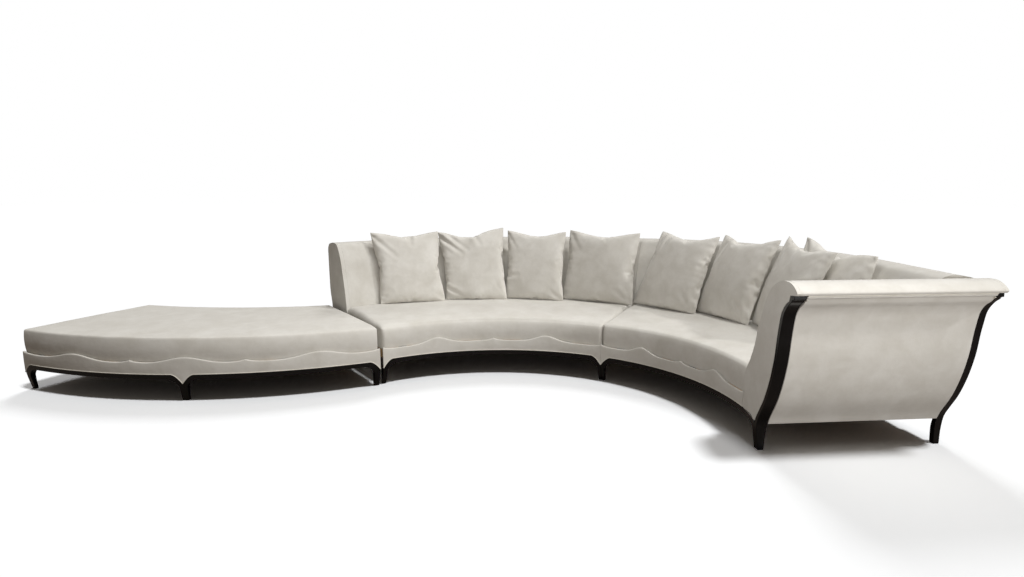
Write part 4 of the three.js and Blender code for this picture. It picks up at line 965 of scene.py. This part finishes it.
# Module, place along it, depth of the foot, turn, tilt and roll in degrees, seat crown under it;
# how far the top left, top right, lower left and lower right corners are pulled across and up in
# mm; place, width and depth in mm of the dent; then folds from point to point on the face, with
# their depth in steps of 1.33 mm.
PILLOWS = [
    (("middle", 0.218, 0.88, -6, 12, 1, 0.03), [(-26, 26), (-22, 16), (20, 14), (0, 24)],
     (0.10, 0.50, 12), [(0.15, 1, 0.10, 0.62, 10), (-0.95, 0.9, -0.35, 0.3, 7),
                        (-0.95, -0.95, -0.6, -0.6, 8), (0.95, -0.95, 0.7, -0.7, 6)]),
    (("middle", 0.437, 0.875, -8, 12, 3.5, 0.0), [(-7, 14), (-1, 20), (29, 16), (-3, 16)],
     (-0.15, 0.50, 30), [(-0.95, 0.85, -0.3, 0.35, 11), (-0.7, 0.95, -0.15, 0.45, 7),
                         (0.1, 0.9, 0.25, 0.55, 7), (-0.8, -0.65, -0.4, -0.8, 8)]),
    (("middle", 0.655, 0.845, -9, 12, 1, 0.21), [(22, 21), (-18, 9), (15, 22), (-22, 24)],
     (0.0, 0.60, 16), [(-0.95, -0.35, -0.5, -0.28, 7), (-0.95, 0.9, -0.6, 0.5, 5),
                       (0.95, -0.95, 0.6, -0.7, 6)]),
    (("middle", 0.89, 0.87, -6, 12, 0, 0.16), [(-40, 28), (17, 24), (-59, 10), (6, 16)],
     (0.0, 0.70, 12), [(-0.95, 0.95, -0.55, 0.45, 7), (0.95, -0.95, 0.55, -0.6, 7),
                       (0.95, -0.95, 0.75, -0.45, 6)]),
    (("right", 0.156, 0.8, -12, 18, -3, 0.64), [(81, 28), (46, 43), (-16, -5), (19, 20)],
     (0.05, 0.70, 22), [(-0.75, 1, -0.8, 0.4, 9), (-0.55, 0.95, -0.6, 0.5, 8),
                        (0.95, -0.95, 0.5, -0.5, 8), (0.95, -0.95, 0.5, -0.78, 7),
                        (0.95, -0.95, 0.75, -0.4, 7)]),
    (("right", 0.395, 0.79, -15, 19, -4, 0.765), [(70, 19), (45, 59), (57, 10), (39, 20)],
     (0.0, 0.65, 32), [(-0.6, 0.9, -0.75, 0.3, 8), (0.95, -0.95, 0.45, -0.5, 9),
                       (0.95, -0.95, 0.5, -0.8, 8), (0.95, -0.95, 0.75, -0.4, 8)]),
    (("right", 0.66, 0.7, -19, 20, -4, 0.75), [(18, 49), (50, 35), (46, 5), (0, 0)],
     (-0.25, 0.60, 30), [(-0.75, 0.95, -0.6, 0.3, 8), (0.9, 0.3, 0.5, 0.1, 6)]),
    (("right", 0.828, 0.868, 1, 14, -4, 0.135), [(-89, 34), (-53, 8), (0, 0), (0, 0)],
     (-0.05, 0.50, 34), [(0.9, 0.9, 0.5, 0.5, 8), (-0.9, 0.9, -0.5, 0.4, 7)]),
]


def pillow_cover():
    """Two sheets over (a, b) from -1 to 1 that share their rim: the columns a, rows b and sides
    of the points, the faces, and the column number of each point."""
    line = np.arange(CELLS + 1)
    column, row = np.meshgrid(line, line, indexing="ij")
    inner = (column % CELLS > 0) & (row % CELLS > 0)
    front = np.arange(column.size).reshape(column.shape)
    rear = front.copy()
    rear[inner] = column.size + np.arange(inner.sum())
    quads = [np.stack([n[:-1, :-1], n[1:, :-1], n[1:, 1:], n[:-1, 1:]], -1).reshape(-1, 4)
             for n in (front, rear)]
    column = np.concatenate([column.ravel(), column[inner]])
    row = np.concatenate([row.ravel(), row[inner]])
    side = np.where(np.arange(len(column)) < front.size, 1.0, -1.0)
    return (2 * column / CELLS - 1, 2 * row / CELLS - 1, side,
            np.concatenate([quads[0], quads[1][:, ::-1]]), column)


def flat_cover(a, b, side, seed):
    """The cut sheets before they are filled: each 4 mm off the seams' plane beside the seams and
    24 mm in the middle, with short waves beside the seams, drawn from the seed."""
    draw = np.random.default_rng(seed)
    inside = np.maximum(np.abs(a), np.abs(b)) < 0.999
    apart = 0.004 + 0.02 * (1 - a ** 4) * (1 - b ** 4)
    for _ in range(5):
        up, across, turn = draw.uniform(12, 30), draw.uniform(12, 30), draw.uniform(0, 6.28)
        apart = apart + 0.0007 * (np.sin(up * b + turn) * np.exp((np.abs(a) - 1) / 0.12)
                                  + np.sin(across * a + 2 * turn) * np.exp((np.abs(b) - 1) / 0.12))
    return np.stack([a * CUT_WIDE / 2, b * CUT_TALL / 2, side * apart * inside], -1)


def filled_cover(flat, faces):
    """The flat cover is blown up as cloth by an even pressure, without gravity, as if it were
    filled lying down."""
    mesh = bpy.data.meshes.new("cover")
    mesh.from_pydata(flat.tolist(), [], faces.tolist())
    cover = linked("cover", mesh)
    cloth = cover.modifiers.new("filling", "CLOTH")
    cloth.point_cache.frame_end = FILL_STEPS
    for key, value in FABRIC.items():
        setattr(cloth.settings, key, value)
    cloth.settings.effector_weights.gravity = 0
    for step in range(1, FILL_STEPS + 1):
        bpy.context.scene.frame_set(step)
    ready = cover.evaluated_get(bpy.context.evaluated_depsgraph_get())
    points = np.empty(len(mesh.vertices) * 3)
    ready.data.vertices.foreach_get("co", points)
    bpy.data.objects.remove(cover)
    bpy.context.scene.frame_set(1)
    return points.reshape(-1, 3)


def fold(a, b, line):
    """A soft crease between two points of the face: a bell across it with a lower ridge on each
    side, tapering to a fifth of its depth at its far end."""
    start, end = np.array(line[:2]), np.array(line[2:4])
    run = end - start
    along = held(((a - start[0]) * run[0] + (b - start[1]) * run[1]) / (run @ run))
    off = np.hypot(a - start[0] - run[0] * along, b - start[1] - run[1] * along) / FOLD_WIDE
    bell = np.exp(-off ** 2) - 0.6 * np.exp(-(off - 1.9) ** 2)
    return line[4] / FOLD_STEPS_PER_METRE * bell * (1 - 0.8 * along)


def pillow_shape(cover, filled, corners, dent, folds, gathered):
    """The filled cover is brought to size and its thickness to that of each side; the corners
    are pulled out by a bilinear blend; the dent sinks the top by a flat bell across it that
    grows as a cube up the pillow; and the folds sink the front. Short waves run in from the
    gathered seam, -1 for the left one and 1 for the right one."""
    a, b, side = cover
    at_corner = np.abs(a * b) > 0.999
    across = filled[:, 0] * PILLOW_WIDE / 2 / np.abs(filled[at_corner, 0]).mean()
    across = across + 0.012 * a ** 3 * (1 - b * b)
    up = filled[:, 1] * PILLOW_TALL / 2 / np.abs(filled[at_corner, 1]).mean()
    deep = filled[:, 2] * side / (filled[:, 2] * side).max()
    thick = deep * np.where(side > 0, PILLOW_FRONT, PILLOW_REAR)
    pull = np.array(corners) / 1000
    weight = np.stack([(1 + i * a) * (1 + j * b) for j in (1, -1) for i in (-1, 1)], -1) / 4
    across = across + weight @ pull[:, 0]
    up = up + weight @ pull[:, 1]
    place, width, depth = dent
    bell = np.exp(-np.abs((a - place) / width) ** 3) * (1 - a ** 8)
    up = up - depth / 1000 * bell * ((1 + b) / 2) ** 3
    crease = np.exp(-((a - place) / (width * 0.35)) ** 2) * held((b + 0.1) / 1.1) ** 2
    thick = thick * (1 - 0.30 * crease * min(depth / 30, 1))
    rim = held((1 - np.maximum(np.abs(a), np.abs(b))) / 0.06)
    for line in folds:
        thick = thick - fold(a, b, line) * rim * (side > 0)
    gather = np.sin(33 * b + 2.5 * np.sin(7 * b) + 4 * a) * np.exp((gathered * a - 1) / GATHER_WIDE)
    thick = thick + GATHER_DEEP * gather * rim * (1 - b ** 6) * (side > 0)
    return np.stack([across, up, side * np.maximum(thick, 0.0)], -1)


def pillow_place(shape, rows, columns, module, share, foot_share, turn, tilt, roll, crown):
    """Stands the pillow on the seat: turned about the upright, leant back by the tilt and rolled
    about its own face. Its lower part then sags until each column of points meets the seat."""
    at, width = (middle_at, middle_width) if module == "middle" else (right_at, right_width)
    near = np.array(at(share * width, foot_share * SEAT_DEPTH))
    far = np.array(at(share * width, (foot_share + 1) * SEAT_DEPTH))
    heading = np.arctan2(far[1] - near[1], far[0] - near[0]) + np.radians(turn)
    tilt, roll = np.radians(tilt), np.radians(roll)
    rear = np.array([np.cos(heading), np.sin(heading), 0])
    sideways = np.array([np.sin(heading), -np.cos(heading), 0])
    upright = np.array([0, 0, np.cos(tilt)]) + rear * np.sin(tilt)
    outward = np.cross(sideways, upright)
    across = sideways * np.cos(roll) + upright * np.sin(roll)
    upwards = upright * np.cos(roll) - sideways * np.sin(roll)
    drop = PILLOW_TALL / 2 * np.cos(roll) + PILLOW_WIDE / 2 * abs(np.sin(roll))
    lift = drop * np.cos(tilt)
    ground = SEAT_HEIGHT + crown * SEAT_CROWN
    foot = np.array([near[0], near[1], ground + lift])
    points = foot + rear * lift * np.tan(tilt) + shape @ np.stack([across, upwards, outward])
    lowest = np.full(CELLS + 1, np.inf)
    np.minimum.at(lowest, columns, points[:, 2])
    sag = held((-rows - 0.1) / 0.7) ** 1.5
    points[:, 2] -= (lowest[columns] - ground - SEAT_REAR_RISE - 0.0005) * sag
    return points


pillow_nubuck = material("brushed nubuck", nubuck, "#c8c4bb", "#dad7d0", 10, 0.9)
a, b, side, cover_faces, columns = pillow_cover()
for number, (stand, corners, dent, folds) in enumerate(PILLOWS, 1):
    filled = filled_cover(flat_cover(a, b, side, 100 + number), cover_faces)
    gathered = -1 if stand[0] == "middle" else 1
    shape = pillow_shape((a, b, side), filled, corners, dent, folds, gathered)
    stood = pillow_place(shape, b, columns, *stand)
    pillow = shell(f"pillow_{number}", stood, cover_faces, crease=80)
    smoother = pillow.modifiers.new("finer cloth", "SUBSURF")
    smoother.levels = smoother.render_levels = 1
    dress(pillow, pillow_nubuck, "nubuck", f"throw_pillow_{number}")

# Studio. A white floor that keeps the sofa's soft shadow, and white all round. Three distant
# lamps shine from above, from above and behind, and from the upper right in front; two panels
# of light stand in front. The lamp at the right and both panels leave out the floor.
CAMERA_WHITE = (1.33, 1.355, 1.38, 1)
WARM = (1, 0.88, 0.76, 1)
ROOM_LIGHT = 0.09


def floor_paint(tree, place):
    """Matt paint: white to the camera under the upper lights, and grey to all other rays, so
    that it throws little light back. It has no pattern, so the place isn't used."""
    seen = add(tree, "LightPath", out="Is Camera Ray")
    colour = add(tree, "Mix", {0: seen, 6: linear("#82766c"), 7: CAMERA_WHITE},
                 data_type="RGBA", out=2)
    return add(tree, "BsdfDiffuse", {"Color": colour})


def white_floor():
    """A plain floor, one quad."""
    mesh = bpy.data.meshes.new("floor")
    mesh.from_pydata([(-30, -20, 0), (30, -20, 0), (30, 40, 0), (-30, 40, 0)], [], [(0, 1, 2, 3)])
    mesh.materials.append(material("matt white floor", floor_paint))
    floor = linked("floor", mesh)
    return floor


def white_world():
    """The world seen by the camera and by gloss is white; what lights the sofa is weaker and a
    little warm, as light thrown back by a room is."""
    world = bpy.data.worlds.new("studio")
    bpy.context.scene.world = world
    world.use_nodes = True
    tree = world.node_tree
    tree.nodes.clear()
    seen = 0
    for kind in ("Is Camera Ray", "Is Glossy Ray", "Is Transmission Ray"):
        ray = add(tree, "LightPath", out=kind)
        seen = add(tree, "Math", {0: seen, 1: ray}, operation="MAXIMUM")
    strength = add(tree, "MapRange", {"Value": seen, "To Min": ROOM_LIGHT, "To Max": 1.0})
    tint = add(tree, "Mix", {0: seen, 6: WARM, 7: (1, 1, 1, 1)}, data_type="RGBA", out=2)
    add(tree, "OutputWorld", {
        "Surface": add(tree, "Background", {"Color": tint, "Strength": strength})})


def lamp(name, kind, towards, energy, **settings):
    """A lamp that shines from a direction; the wider it is, the softer its shadows."""
    data = bpy.data.lights.new(name, kind)
    data.energy = energy
    for key, value in settings.items():
        setattr(data, key, value)
    light = linked(name, data)
    light.rotation_euler = Vector(towards).to_track_quat("Z", "Y").to_euler()
    return light


def panel(name, place, aim, power, size):
    """A square panel of light that stands in front of the sofa, out of sight of the camera."""
    light = lamp(name, "AREA", Vector(place) - Vector(aim), power, size=size)
    light.location = place
    light.visible_camera = False
    return light


def keep_off(light, piece):
    """The light leaves out one piece."""
    group = bpy.data.collections.new(f"left out by {light.name}")
    group.objects.link(piece)
    light.light_linking.receiver_collection = group
    group.collection_objects[0].light_linking.link_state = "EXCLUDE"


def photo_camera():
    """The camera of the photograph: 21.6 mm on a 36 mm frame, 1.36 m up, looking a little down."""
    data = bpy.data.cameras.new("camera")
    data.sensor_width = 36
    data.lens = 21.568
    camera = linked("camera", data)
    camera.location = (0.38986, -3.99033, 1.3631)
    camera.rotation_euler = tuple(np.radians([80.36, 0, -1.5]))
    bpy.context.scene.camera = camera


floor = white_floor()
white_world()
lamp("overhead", "SUN", (0.3, -0.2, 1), 1.6, angle=np.radians(8))
lamp("behind", "SUN", (0, 0.64, 0.77), 0.8, angle=np.radians(20))
keep_off(lamp("key", "SUN", (0.95, -0.4, 0.85), 1.05, angle=np.radians(3)), floor)
keep_off(panel("right panel", (2.6, -3.2, 1.0), (1.6, 0, 0.6), 30, 0.6), floor)
keep_off(panel("front panel", (0.3, -2.3, 2.1), (1.2, 0, 0.6), 33, 1.6), floor)
photo_camera()
bpy.context.scene.view_settings.view_transform = "Standard"
